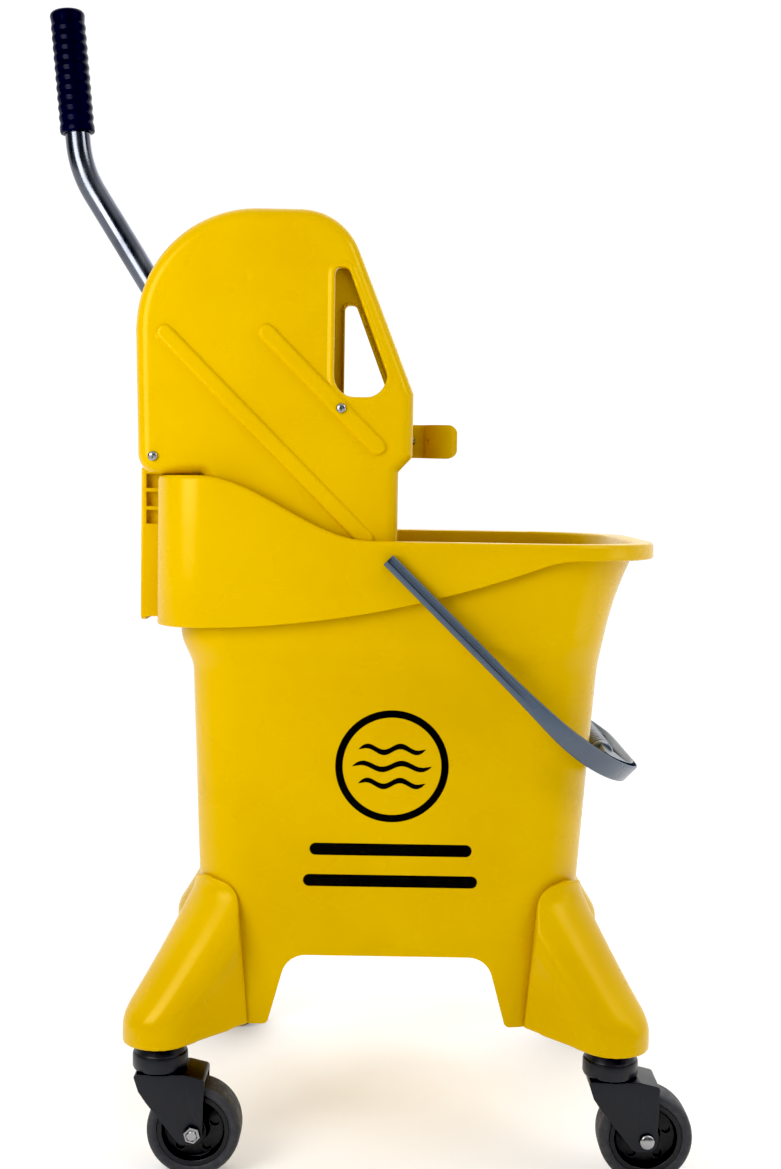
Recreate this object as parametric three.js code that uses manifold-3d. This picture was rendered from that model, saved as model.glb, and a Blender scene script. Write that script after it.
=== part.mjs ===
// Mop bucket on four swivel casters, with a lift-off down-press wringer.
// Millimetres, +Z up, +X towards the pouring lip, origin under the middle of the object.
import * as THREE from "three";
import { mergeVertices } from "three/addons/utils/BufferGeometryUtils.js";
import Module from "manifold-3d";

// ---- driving dimensions ----
const GAP = 0.3; // between touching pieces
const SHIFT_X = 30.5; // bucket centre to the middle of the whole object
const FLOOR_Z = 10.4; // heights below are drawn this much above the floor

const RIM_Z = 518, SADDLE_Z = 567.7; // bucket rim, and the raised rear of it
const SADDLE_X0 = -155, SADDLE_X1 = -20; // where the rim sweeps down between them
const FOOT_Z = 118.6, BELLY_Z = 177, WALL = 3.5;
const BODY_FRONT = 155.8, BODY_REAR = -156.4, BODY_HALF = 131.4; // at belly height
const SHOULDER_Z0 = 408, SHOULDER_Z1 = 440, SHOULDER = 8; // step under the skirt
const LIP_FLARE_Z = 400; // the front wall bends outwards above this
const SKIRT_REAR = -192, SKIRT_FRONT = 220, SKIRT_HALF = 154;
const SKIRT_LOW_Z = 446.6, SKIRT_LOW_X = -165, SKIRT_BAND_Z = 504.3;
const ARCH_X = 98, ARCH_TOP_X = 82, ARCH_R = 20; // cut-outs between the feet, seen from the side
const ARCH_Y = 78, ARCH_TOP_Y = 65, ARCH_END_R = 14; // and from the end

const LEG_TOP_Z = 241, LEG_NECK_Z = 228, LEG_TOE_Z = 137.6, LEG_BASE_Z = 116;
const LEG_OUT_X = 211, LEG_OUT_Y = 190, LEG_WALL = 4, LEG_PROUD = 2;
const LEG_SEAM_X = 113.4, LEG_SEAM_Y = 86; // foot of each seam with the bucket

const SWIVEL_X = 180, SWIVEL_Y = 165, TRAIL = 28;
const WHEEL_R = 37.5, WHEEL_W = 30, TYRE_T = 8.5;
const CUP_R = 22, CUP_Z = 95.6, FORK_T = 2.5, FORK_IN = 16.6;
const AXLE_R = 4, AXLE_Z = FLOOR_Z + WHEEL_R;

const CHEEK_IN = 133.5, CHEEK_OUT = 138, RIB_OUT = 141; // distances from the mid-plane
const CHEEK_REAR = -208.7, CHEEK_FRONT = 13.8, CHEEK_NOTCH = 2.6;
const DOME_X = -112, DOME_Z = 683.5, DOME_R = 96.5;
const PIVOT_X = -150, PIVOT_Z = 628; // lever axle
const LEVER_AXLE_R = 8, PITCH_R = 55, GEAR_TEETH = 33, TOOTH_HALF = 2.1;
const GEAR_Y0 = 117, GEAR_Y1 = 125;
const TUBE_R = 11, LEVER_ANGLE = 122.2, LEVER_RUN = 241.9, LEVER_TOP_ANGLE = 95.3;
const BEND_R = 100, GRIP_R = 15, GRIP_L = 104.5, LEVER_TOP_Z = 967.8;
const PLATE_T = -509; // press plate at rest, measured down the 45 degree slope
const PLATE_N0 = 299, PLATE_N1 = 384;
const BASKET_N = 294, BASKET_T = -366, BASKET_WALL = 3.5;

const CLIP_X = 41.5, CLIP_IN = 13.5, CLIP_OUT = 17, CLIP_SCREW_Y = 11;
const CLIP_Z = 600.5, CLIP_HALF = 14.5, CLIP_OPEN = 40; // middle, half height, half angle of its mouth

const BAIL_X = 0.8, BAIL_Z = 499, BAIL_REST = -44.5, BAIL_Y = 160, BAIL_REACH = 267.5;
const BAIL_BOW_R = 100, BAIL_W = 7, BAIL_RISE = 15; // the bow stands out of the arms' plane

// ---- materials ----
const paint = {
  yellow: { color: 0xe4b606, roughness: 0.4, metalness: 0 },
  bluegrey: { color: 0x5f6e82, roughness: 0.45, metalness: 0 },
  navy: { color: 0x0a1038, roughness: 0.5, metalness: 0 },
  rubber: { color: 0x3c3c42, roughness: 0.7, metalness: 0 },
  darkgrey: { color: 0x55565c, roughness: 0.5, metalness: 0 },
  black: { color: 0x1b1b1e, roughness: 0.3, metalness: 0 },
  steel: { color: 0x9a9da3, roughness: 0.25, metalness: 1 },
  white: { color: 0xd9d6cf, roughness: 0.5, metalness: 0 },
};

// ---- geometry helpers ----
const wasm = await Module();
wasm.setup();
const deg = (a) => (a * Math.PI) / 180;
const clamp01 = (v) => Math.min(1, Math.max(0, v));
const smooth = (v) => clamp01(v) ** 2 * (3 - 2 * clamp01(v));

// A closed three.js geometry as a solid, turned to face outwards.
function solid(source) {
  const g = source.clone();
  for (const name of ["normal", "uv"]) if (g.getAttribute(name)) g.deleteAttribute(name);
  const merged = mergeVertices(g, 1e-4);
  const p = merged.attributes.position.array;
  const all = merged.index.array;
  const keep = [];
  let volume = 0;
  for (let i = 0; i < all.length; i += 3) {
    const [a, b, c] = [all[i], all[i + 1], all[i + 2]];
    if (a === b || b === c || a === c) continue;
    keep.push(a, b, c);
    const [ax, ay, az] = [p[3 * a], p[3 * a + 1], p[3 * a + 2]];
    const [bx, by, bz] = [p[3 * b], p[3 * b + 1], p[3 * b + 2]];
    const [cx, cy, cz] = [p[3 * c], p[3 * c + 1], p[3 * c + 2]];
    volume += ax * (by * cz - bz * cy) + ay * (bz * cx - bx * cz) + az * (bx * cy - by * cx);
  }
  if (volume < 0)
    for (let i = 0; i < keep.length; i += 3) [keep[i + 1], keep[i + 2]] = [keep[i + 2], keep[i + 1]];
  return new wasm.Manifold(
    new wasm.Mesh({ numProp: 3, vertProperties: new Float32Array(p), triVerts: new Uint32Array(keep) }),
  );
}
const join = (...parts) => parts.reduce((a, b) => a.add(b));
const cut = (a, ...parts) => parts.reduce((x, b) => x.subtract(b), a);

// Rings of points, one above another, skinned and capped at both ends.
function skin(rings) {
  const n = rings[0].length;
  const flat = rings.flat().flatMap((v) => [v.x, v.y, v.z]);
  const index = [];
  for (let k = 0; k + 1 < rings.length; k++)
    for (let i = 0; i < n; i++) {
      const a = k * n + i, b = k * n + ((i + 1) % n);
      index.push(a, b, b + n, a, b + n, a + n);
    }
  const last = (rings.length - 1) * n;
  for (let i = 1; i + 1 < n; i++) index.push(0, i + 1, i, last, last + i, last + i + 1);
  const g = new THREE.BufferGeometry();
  g.setAttribute("position", new THREE.Float32BufferAttribute(flat, 3));
  g.setIndex(index);
  return solid(g);
}

// A level rounded rectangle from x0 to x1 and y0 to y1; rr rounds the x0 side, rf the x1 side.
function oblong(x0, x1, y0, y1, rr, rf, z, steps = 6) {
  const ring = [];
  const corners = [[x1 - rf, y0 + rf, rf, -90], [x1 - rf, y1 - rf, rf, 0],
    [x0 + rr, y1 - rr, rr, 90], [x0 + rr, y0 + rr, rr, 180]];
  for (const [cx, cy, r, start] of corners)
    for (let i = 0; i <= steps; i++) {
      const a = deg(start + (90 * i) / steps);
      ring.push(new THREE.Vector3(cx + r * Math.cos(a), cy + r * Math.sin(a), z));
    }
  return ring;
}

// A polygon of [x, z, corner radius] as a THREE.Shape with its corners rounded.
function outline(corners, steps = 5) {
  const pts = [];
  corners.forEach(([x, z, r = 0], i) => {
    const here = new THREE.Vector2(x, z);
    const [px, pz] = corners[(i + corners.length - 1) % corners.length];
    const [nx, nz] = corners[(i + 1) % corners.length];
    if (!r) return pts.push(here);
    const back = new THREE.Vector2(px, pz).sub(here).normalize();
    const on = new THREE.Vector2(nx, nz).sub(here).normalize();
    const half = Math.acos(THREE.MathUtils.clamp(back.dot(on), -1, 1)) / 2;
    const reach = r / Math.tan(half);
    const centre = here.clone().add(back.clone().add(on).normalize().multiplyScalar(r / Math.sin(half)));
    const a = here.clone().addScaledVector(back, reach).sub(centre);
    const b = here.clone().addScaledVector(on, reach).sub(centre);
    const turn = Math.atan2(a.x * b.y - a.y * b.x, a.dot(b));
    for (let k = 0; k <= steps; k++)
      pts.push(a.clone().rotateAround(new THREE.Vector2(), (turn * k) / steps).add(centre));
  });
  return new THREE.Shape(pts);
}

// An x-z shape made into a slab from y0 to y1.
function slab(shape, y0, y1) {
  const g = new THREE.ExtrudeGeometry(shape, { depth: y1 - y0, bevelEnabled: false });
  g.rotateX(Math.PI / 2).translate(0, y1, 0);
  return solid(g);
}
// A y-z shape made into a slab from x0 to x1.
function slabX(shape, x0, x1) {
  const g = new THREE.ExtrudeGeometry(shape, { depth: x1 - x0, bevelEnabled: false });
  g.rotateX(Math.PI / 2).rotateZ(Math.PI / 2).translate(x0, 0, 0);
  return solid(g);
}
const box = (x0, x1, y0, y1, z0, z1) =>
  solid(new THREE.BoxGeometry(x1 - x0, y1 - y0, z1 - z0)
    .translate((x0 + x1) / 2, (y0 + y1) / 2, (z0 + z1) / 2));

// A profile of [radius, height] turned about an axis through a point.
function turned(profile, axis, at, sides = 20) {
  const g = new THREE.LatheGeometry(profile.map(([r, h]) => new THREE.Vector2(r, h)), sides);
  const q = new THREE.Quaternion().setFromUnitVectors(new THREE.Vector3(0, 1, 0), axis);
  return solid(g.applyQuaternion(q).translate(at.x, at.y, at.z));
}
const rod = (r, h0, h1, axis, at, sides = 16) =>
  turned([[0, h0], [r, h0], [r, h1], [0, h1]], axis, at, sides);
const X = new THREE.Vector3(1, 0, 0), Y = new THREE.Vector3(0, 1, 0), Z = new THREE.Vector3(0, 0, 1);
const at = (x, y, z) => new THREE.Vector3(x, y, z);

// Copies in the other quadrants: sx and sy are 1 or -1.
const flipped = (m, sx, sy) => m.scale([sx, sy, 1]);

// The 45 degree press direction: n is across it (forwards and up), t is down it.
const S = Math.SQRT1_2;
const nt = (n, t) => new THREE.Vector2(S * (n + t), S * (n - t));
const ntPoint = (n, t, y = 0) => at(nt(n, t).x, y, nt(n, t).y);
const ntShape = (list) => new THREE.Shape(list.map(([n, t]) => nt(n, t)));

const group = new THREE.Group();
group.name = "mop_bucket_with_wringer";
function piece(name, material, made) {
  const mesh = made.getMesh();
  const p = new Float32Array((mesh.vertProperties.length / mesh.numProp) * 3);
  for (let i = 0; i < p.length / 3; i++)
    for (let k = 0; k < 3; k++) p[3 * i + k] = mesh.vertProperties[i * mesh.numProp + k];
  const g = new THREE.BufferGeometry();
  g.setAttribute("position", new THREE.BufferAttribute(p, 3));
  g.setIndex(new THREE.BufferAttribute(new Uint32Array(mesh.triVerts), 1));
  g.translate(SHIFT_X, 0, -FLOOR_Z);
  const flat = g.toNonIndexed();
  flat.computeVertexNormals();
  const m = new THREE.Mesh(flat, new THREE.MeshStandardMaterial(paint[material]));
  m.name = name;
  group.add(m);
}

// ---- bucket ----
const rimTop = (x) => SADDLE_Z - (SADDLE_Z - RIM_Z) * smooth((x - SADDLE_X0) / (SADDLE_X1 - SADDLE_X0));
const skirtLow = (x) =>
  Math.min(SKIRT_BAND_Z, SKIRT_LOW_Z + 0.00065 * Math.max(0, x - SKIRT_LOW_X) ** 2);
const step = (z) => SHOULDER * smooth((z - SHOULDER_Z0) / (SHOULDER_Z1 - SHOULDER_Z0));
const bodyFront = (z) => BODY_FRONT + 0.068 * (z - BELLY_Z) + 0.002 * Math.max(0, z - LIP_FLARE_Z) ** 2;
const bodyRear = (z) => BODY_REAR - 0.035 * (z - BELLY_Z) - step(z);
const bodyHalf = (z) => BODY_HALF + 0.02 * (z - BELLY_Z) + step(z);
const bodyRadius = (z) => 55 + 22 * smooth((z - LIP_FLARE_Z) / 118);

function bodyRing(z, grow) {
  const h = bodyHalf(z) + grow;
  const front = Math.min(bodyFront(Math.min(z, RIM_Z)), SKIRT_FRONT - 6) + grow;
  return oblong(bodyRear(z) - grow, front, -h, h, 42 + grow, bodyRadius(z) + grow, z);
}
const BODY_LEVELS = [FOOT_Z - 2, 250, 395, 408, 418, 430, 440, 462, 485, 505, 520, SADDLE_Z + 6];
const bodyLoft = (grow, bottom, top = 1e9) => {
  const inside = BODY_LEVELS.filter((z) => z > bottom + 1 && z < top - 1);
  return skin([bottom, ...inside, Math.min(top, SADDLE_Z + 6)].map((z) => bodyRing(z, grow)));
};
const skirtLoft = (grow) =>
  skin([SKIRT_LOW_Z - 12, SADDLE_Z + 6].map((z) =>
    oblong(SKIRT_REAR - grow, SKIRT_FRONT + grow, -SKIRT_HALF - grow, SKIRT_HALF + grow,
      40 + grow, 95 + grow, z, 8)));

// The side profile between the skirt's lower edge and the rim, or all of what is under the rim.
function underRim(drop, low) {
  const pts = [];
  for (let i = 0; i <= 14; i++) {
    const x = SADDLE_X0 + ((SADDLE_X1 - SADDLE_X0) * i) / 14;
    pts.push([x, rimTop(x) - drop]);
  }
  pts.push([260, RIM_Z - drop]);
  if (low) {
    pts.push([260, SKIRT_BAND_Z]);
    for (let i = 12; i >= 0; i--) {
      const x = SKIRT_LOW_X + (298 * i) / 12;
      pts.push([x, skirtLow(x)]);
    }
    pts.push([-240, SKIRT_LOW_Z + 2]);
  } else pts.push([260, 60], [-240, 60]);
  pts.push([-240, SADDLE_Z - drop]);
  return slab(new THREE.Shape(pts.map(([x, z]) => new THREE.Vector2(x, z))), -240, 240);
}

const interior = bodyLoft(-WALL, BELLY_Z + 5);
const skirt = cut(skirtLoft(0).intersect(underRim(0, true)),
  skirtLoft(-WALL).intersect(underRim(WALL, false)));
let bucket = join(skirt, bodyLoft(0, FOOT_Z - 2).intersect(underRim(0, false))).subtract(interior);
const archX = outline([[-240, FOOT_Z - 9], [240, FOOT_Z - 9], [240, FOOT_Z], [ARCH_X, FOOT_Z, 5],
  [ARCH_TOP_X, BELLY_Z, ARCH_R], [-ARCH_TOP_X, BELLY_Z, ARCH_R], [-ARCH_X, FOOT_Z, 5],
  [-240, FOOT_Z]], 4);
const archY = outline([[-ARCH_Y, FOOT_Z - 9], [ARCH_Y, FOOT_Z - 9],
  [ARCH_TOP_Y, BELLY_Z - 3, ARCH_END_R], [-ARCH_TOP_Y, BELLY_Z - 3, ARCH_END_R]], 4);
bucket = cut(bucket, slab(archX, -200, 200), slabX(archY, -240, 240));
for (const sx of [-1, 1])
  for (const sy of [-1, 1]) {
    const pocket = skin([
      oblong(ARCH_X + 6, 148, ARCH_Y + 6, 122, 8, 16, FOOT_Z - 2, 3),
      oblong(ARCH_X + 2, 150, ARCH_Y + 2, 124, 8, 16, BELLY_Z - 4, 3),
    ]);
    bucket = bucket.subtract(flipped(pocket, sx, sy));
  }
for (const s of [-1, 1])
  bucket = bucket.subtract(rod(4.6, s > 0 ? 149 : -156, s > 0 ? 156 : -149, Y, at(BAIL_X, 0, BAIL_Z), 14));
piece("bucket", "yellow", bucket);

// ---- leg covers: a round boot over each caster, blending back to the bucket's two walls ----
// max(0, v), rounded off where v is within b of 0.
const ease = (v, b) => (v < -b ? 0 : v > b ? v : (v + b) ** 2 / (4 * b));
// How far the boot stands out from the bucket, from 0 at its neck to 1 at its toe.
function legFlare(z) {
  const share = (LEG_NECK_Z - z) / (LEG_NECK_Z - LEG_TOE_Z);
  return ease(share, 0.07) - ease(share - 1, 0.1);
}
// The end of the line from a point to a circle that it just touches, on its left or right.
function touch(px, py, cx, cy, r, way) {
  const gap = Math.max(r + 0.01, Math.hypot(cx - px, cy - py)), run = Math.sqrt(gap * gap - r * r);
  const a = Math.atan2(cy - py, cx - px) + way * Math.asin(r / gap);
  return { x: px + run * Math.cos(a), y: py + run * Math.sin(a), spoke: a + (way * Math.PI) / 2 };
}
function legRing(z, grow) {
  const wallX = bodyFront(z) + LEG_PROUD + grow, wallY = bodyHalf(z) + LEG_PROUD + grow;
  const out = legFlare(z), r = 40 - 10 * out + grow;
  const cx = wallX + (LEG_OUT_X + grow - wallX) * out - r, cy = wallY + (LEG_OUT_Y + grow - wallY) * out - r;
  const a = touch(wallX, LEG_SEAM_Y - 2, cx, cy, r, -1), b = touch(LEG_SEAM_X - 1, wallY, cx, cy, r, 1);
  const ring = [at(90, 60, z), at(wallX, 60, z), at(wallX, LEG_SEAM_Y - 2, z)];
  for (let i = 0; i <= 8; i++) {
    const spoke = a.spoke + ((b.spoke - a.spoke) * i) / 8;
    ring.push(at(cx + r * Math.cos(spoke), cy + r * Math.sin(spoke), z));
  }
  return [...ring, at(LEG_SEAM_X - 1, wallY, z), at(90, wallY, z)];
}
const LEG_LEVELS = [LEG_BASE_Z - 4, 128, 134, 140, 147, 173, 200, 221, 228, 235, LEG_TOP_Z + 4];
const legSide = outline([[240, LEG_BASE_Z], [170, LEG_BASE_Z], [LEG_SEAM_X, LEG_BASE_Z + 3],
  [LEG_SEAM_X + 9.4, 234.5, 18], [152, LEG_TOP_Z, 10], [240, LEG_TOP_Z]], 4);
const legEnd = outline([[220, LEG_BASE_Z], [150, LEG_BASE_Z], [LEG_SEAM_Y, LEG_BASE_Z + 3],
  [LEG_SEAM_Y + 9.4, 234.5, 18], [126, LEG_TOP_Z, 10], [220, LEG_TOP_Z]], 4);
const legOuter = skin(LEG_LEVELS.map((z) => legRing(z, 0)))
  .intersect(slab(legSide, 20, 240)).intersect(slabX(legEnd, 20, 260));
const legInner = skin([LEG_BASE_Z - 6, 134, 147, 173, 200].map((z) => legRing(z, -LEG_WALL)))
  .intersect(box(LEG_SEAM_X + 12, 300, LEG_SEAM_Y + 12, 300, 0, 200));
const stemPost = join(rod(13, LEG_BASE_Z - 2, 156, Z, at(SWIVEL_X, SWIVEL_Y, 0), 16),
  box(SWIVEL_X - 38, SWIVEL_X, SWIVEL_Y - 2, SWIVEL_Y + 2, LEG_BASE_Z, 156),
  box(SWIVEL_X - 2, SWIVEL_X + 2, SWIVEL_Y - 56, SWIVEL_Y, LEG_BASE_Z, 156));
const legCover = cut(legOuter, legInner.subtract(stemPost),
  rod(6 + GAP, 100, 150, Z, at(SWIVEL_X, SWIVEL_Y, 0), 16));
const bodyRoom = bodyLoft(GAP, FOOT_Z - GAP, 260);

// ---- casters ----
const cup = join(
  turned([[0, CUP_Z], [CUP_R - 2, CUP_Z], [CUP_R, CUP_Z + 3], [CUP_R, CUP_Z + 14],
    [CUP_R - 3, LEG_BASE_Z - GAP], [0, LEG_BASE_Z - GAP]], Z, at(0, 0, 0), 20),
  rod(6, LEG_BASE_Z - 4, 146, Z, at(0, 0, 0), 10));
const forkSide = outline([[-19.5, CUP_Z - GAP], [TRAIL - 6, CUP_Z - GAP], [TRAIL + 9.5, CUP_Z - 4, 3],
  [TRAIL + 8, AXLE_Z - 9, 8], [TRAIL - 10, AXLE_Z - 9, 8], [-9, AXLE_Z + 24.5, 6],
  [-15, AXLE_Z + 33.5, 4]], 4);
const fork = cut(slab(forkSide, -FORK_IN - FORK_T, FORK_IN + FORK_T),
  box(-60, 90, -FORK_IN, FORK_IN, 0, CUP_Z - 8),
  rod(AXLE_R + GAP, -40, 40, Y, at(TRAIL, 0, AXLE_Z), 14));
const tyre = turned([[WHEEL_R - TYRE_T, -13], [WHEEL_R - 3, -WHEEL_W / 2], [WHEEL_R - 0.8, -12],
  [WHEEL_R, -7], [WHEEL_R, 7], [WHEEL_R - 0.8, 12], [WHEEL_R - 3, WHEEL_W / 2],
  [WHEEL_R - TYRE_T, 13], [WHEEL_R - TYRE_T, -13]], Y, at(TRAIL, 0, AXLE_Z), 26);
const RIM_R = WHEEL_R - TYRE_T - GAP;
const hub = turned([[AXLE_R + 0.2, -14.5], [11, -14.5], [11.5, -6], [RIM_R - 5, -6],
  [RIM_R - 4, -13], [RIM_R, -13], [RIM_R, 13], [RIM_R - 4, 13], [RIM_R - 5, 6],
  [11.5, 6], [11, 14.5], [AXLE_R + 0.2, 14.5], [AXLE_R + 0.2, -14.5]], Y, at(TRAIL, 0, AXLE_Z), 16);
const boltOut = FORK_IN + FORK_T + GAP;
const axleBolt = turned([[0, -boltOut - 3.6], [4, -boltOut - 3], [6, -boltOut - 1], [6, -boltOut],
  [AXLE_R, -boltOut], [AXLE_R, boltOut + 4.3], [0, boltOut + 4.3]], Y, at(TRAIL, 0, AXLE_Z), 14);
const NUT_BORE = (AXLE_R + GAP) / Math.cos(deg(30));
const axleNut = turned([[NUT_BORE, boltOut], [6.9, boltOut], [6.9, boltOut + 3.4],
  [NUT_BORE, boltOut + 3.4], [NUT_BORE, boltOut]], Y, at(TRAIL, 0, AXLE_Z), 6);

for (const [end, sx] of [["rear", -1], ["front", 1]])
  for (const [side, sy] of [["near", -1], ["far", 1]]) {
    const tag = end + "_" + side;
    const flip = sx * sy; // the bolt head faces out on one end of the bucket, the nut on the other
    const put = (m, mirror = 1) => flipped(m, 1, mirror).translate([sx * SWIVEL_X, sy * SWIVEL_Y, 0]);
    piece("leg_cover_" + tag, "yellow", flipped(legCover, sx, sy).subtract(bodyRoom));
    piece("caster_cup_" + tag, "darkgrey", put(cup));
    piece("fork_" + tag, "darkgrey", put(fork));
    piece("tyre_" + tag, "rubber", put(tyre));
    piece("wheel_hub_" + tag, "black", put(hub));
    piece("axle_bolt_" + tag, "steel", put(axleBolt, -flip));
    piece("axle_nut_" + tag, "steel", put(axleNut, -flip));
  }

// ---- bail handle ----
const bailDir = new THREE.Vector2(Math.cos(deg(BAIL_REST)), Math.sin(deg(BAIL_REST)));
const bailUp = new THREE.Vector2(-bailDir.y, bailDir.x);
// A point r along the arms, y across and h out of the bail's own plane.
const bailPoint = (r, y, h) =>
  at(BAIL_X + bailDir.x * r + bailUp.x * h, y, BAIL_Z + bailDir.y * r + bailUp.y * h);
const bailHeight = (s) => 5.5 + 4.5 * smooth((s - 120) / 110); // half height by distance along the arm
// How far the bow has risen out of the arms' plane at a reach r.
const bailRise = (r) => BAIL_RISE * THREE.MathUtils.clamp((r - 180) / (BAIL_REACH - 180), 0, 1) ** 2;
function bailPath() {
  const mid = BAIL_REACH - BAIL_BOW_R, side = BAIL_Y - BAIL_BOW_R, path = [];
  for (const r of [-7, 40, 95, 125, 150]) path.push({ r, y: -BAIL_Y, nr: 0, ny: -1, s: r });
  for (let i = 0; i <= 10; i++) {
    const a = deg(-90 + 9 * i);
    path.push({ r: mid + BAIL_BOW_R * Math.cos(a), y: -side + BAIL_BOW_R * Math.sin(a),
      nr: Math.cos(a), ny: Math.sin(a), s: mid + 15 * i });
  }
  return [...path, ...path.slice().reverse().map((p) => ({ ...p, y: -p.y, ny: -p.ny }))];
}
function bailBand(stations, inner, outer, low, high) {
  return skin(stations.map((p) => {
    const h = bailHeight(p.s);
    const lo = low(h), hi = high(h);
    return [[inner, lo], [outer, lo], [outer, hi], [inner, hi]].map(([w, k]) =>
      bailPoint(p.r + p.nr * w, p.y + p.ny * w, bailRise(p.r) + k));
  }));
}
const path = bailPath();
const bow = path.filter((p) => p.s > 140);
let bail = bailBand(path, -BAIL_W / 2, BAIL_W / 2, (h) => -h, (h) => h);
bail = cut(bail, bailBand(bow, -1.6, 1.6, (h) => -h + 6, (h) => h + 5));
for (const s of [-1, 1]) {
  const arm = path.filter((p) => p.s <= 125 && p.y * s > 0);
  bail = cut(bail, bailBand(arm, 1, 6, () => -1.2, () => 1.8));
  bail = join(bail, rod(4, s > 0 ? 149.5 : -158, s > 0 ? 158 : -149.5, Y, at(BAIL_X, 0, BAIL_Z), 14));
}
// The hand bar runs inside the bow, with slanted webs that tie it to the band.
const GRIP_REACH = BAIL_REACH - 27, GRIP_RISE = 11, GRIP_HALF = 66;
const core = rod(4, -GRIP_HALF - 14, GRIP_HALF + 14, Y, bailPoint(GRIP_REACH, 0, GRIP_RISE), 10);
const gusset = (s) => {
  const pts = [[BAIL_REACH - 2, 67.5, 15], [BAIL_REACH - 6, 88, 14], [BAIL_REACH - 16, 108, 11],
    [GRIP_REACH - 5, 100, 9], [GRIP_REACH - 7, 68.5, GRIP_RISE]];
  return skin([-5.5, 5.5].map((h) => pts.map(([r, y, rise]) => bailPoint(r, s * y, rise + h))));
};
bail = join(bail, core, gusset(1), gusset(-1));
piece("bail_handle", "bluegrey", bail);
const ripple = [[4.4, -GRIP_HALF]];
for (let i = 0; i <= 16; i++)
  ripple.push([i % 2 ? 10 : 8.8, -GRIP_HALF + (2 * GRIP_HALF * i) / 16]);
ripple.push([4.4, GRIP_HALF], [4.4, -GRIP_HALF]);
piece("bail_grip", "bluegrey", turned(ripple, Y, bailPoint(GRIP_REACH, 0, GRIP_RISE), 10));

// ---- wringer: cheeks ----
const cheekShape = outline([
  [-206, 568.3, 16], [-154, 568.3], nt(289, -500).toArray(), [...nt(289, -360).toArray(), 8],
  nt(363.8, -360).toArray(), [CHEEK_NOTCH, 573], [CHEEK_FRONT, 585, 4], [CHEEK_FRONT, 635.7, 10],
  [-43.5, 780, 50], [DOME_X, 780], ...dome(2, 88), [CHEEK_REAR, DOME_Z]], 6);
// Points round the wringer's rear dome, from a little past the top to near the rear edge.
function dome(from, to, shrink = 0, steps = 9) {
  const pts = [];
  for (let i = 0; i <= steps; i++) {
    const a = deg(90 + from + ((to - from) * i) / steps);
    pts.push([DOME_X + (DOME_R - shrink) * Math.cos(a), DOME_Z + (DOME_R - shrink) * Math.sin(a)]);
  }
  return pts;
}
// The finger hole: straight at the back, slanting at the front, round underneath.
function handHole(grow) {
  const g = grow;
  return outline([[-50 - g, 733.5 + g, 5 + g], [-39.2 + g * 0.7, 733.5 + g, 5 + g],
    [-7 + g, 648.4, 10 + g], [-13 + g, 631.8 - g, 16 + g], [-50 - g, 631.8 - g, 17 + g]], 4);
}
// A round-ended bar along the slope, at n, from t0 to t1.
function slopeBar(n, t0, t1, half, y0, y1) {
  const list = [];
  for (let i = 0; i <= 6; i++) {
    const a = deg(90 - 30 * i);
    list.push([n + half * Math.sin(a), t1 + half * Math.cos(a)]);
  }
  for (let i = 0; i <= 6; i++) {
    const a = deg(-90 - 30 * i);
    list.push([n + half * Math.sin(a), t0 + half * Math.cos(a)]);
  }
  return slab(ntShape(list), y0, y1);
}
const CONTACT_T = S * (PIVOT_X - PIVOT_Z), PIVOT_N = S * (PIVOT_X + PIVOT_Z);
const SCREW_A = nt(409.4, -471), SCREW_B = new THREE.Vector2(-193.1, 582.4);
let cheek = join(slab(cheekShape, CHEEK_IN, CHEEK_OUT),
  slab(handHole(4.5), CHEEK_IN, CHEEK_OUT + 1.2),
  slopeBar(408.8, -555, -429, 6.2, CHEEK_IN + 1, RIB_OUT),
  slopeBar(350.5, -611, -383, 6.2, CHEEK_IN + 1, RIB_OUT),
  rod(13, 129, CHEEK_IN + 1, Y, at(PIVOT_X, 0, PIVOT_Z), 20));
cheek = cut(cheek, slab(handHole(0), 120, 150),
  slopeBar(350.5, -509, -509 + 84, 4.2, 120, CHEEK_OUT - 0.3),
  rod(LEVER_AXLE_R + GAP, 120, CHEEK_OUT - 1.5, Y, at(PIVOT_X, 0, PIVOT_Z), 20),
  rod(2.3, 120, 150, Y, at(SCREW_A.x, 0, SCREW_A.y), 10),
  rod(2.3, 120, 150, Y, at(SCREW_B.x, 0, SCREW_B.y), 10));
const screwHead = (base, tip, r) => turned([[0, tip], [2, tip], [2, base], [r, base], [r, base + 1.4],
  [r * 0.72, base + 2.6], [0, base + 3]], Y, at(0, 0, 0), 12);
const ROLLER_Y0 = 116.5, ROLLER_Y1 = CHEEK_IN - GAP;
const roller = turned([[2.4, ROLLER_Y0], [7.6, ROLLER_Y0], [7.6, ROLLER_Y1], [2.4, ROLLER_Y1],
  [2.4, ROLLER_Y0]], Y, at(SCREW_A.x, 0, SCREW_A.y), 16);

// ---- wringer: rack and sector pair ----
const PITCH = (2 * Math.PI * PITCH_R) / GEAR_TEETH;
function sectorShape() {
  const pts = [];
  for (let j = -1; j <= 9; j++)
    for (const [w, r] of [[3.1, -3.4], [1.15, 2.6], [-1.15, 2.6], [-3.1, -3.4]]) {
      const a = deg((360 / GEAR_TEETH) * j) - w / PITCH_R;
      pts.push([PIVOT_N + (PITCH_R + r) * Math.cos(a), CONTACT_T - (PITCH_R + r) * Math.sin(a)]);
    }
  for (let i = 0; i <= 8; i++) {
    const a = deg(125 + 26 * i);
    pts.push([PIVOT_N + 15 * Math.cos(a), CONTACT_T - 15 * Math.sin(a)]);
  }
  return ntShape(pts);
}
const sector = cut(slab(sectorShape(), GEAR_Y0, GEAR_Y1),
  rod(LEVER_AXLE_R + GAP, 110, 130, Y, at(PIVOT_X, 0, PIVOT_Z), 20));
const RACK_N = PIVOT_N + PITCH_R, RACK_T0 = -641, RACK_T1 = PLATE_T;
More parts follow.
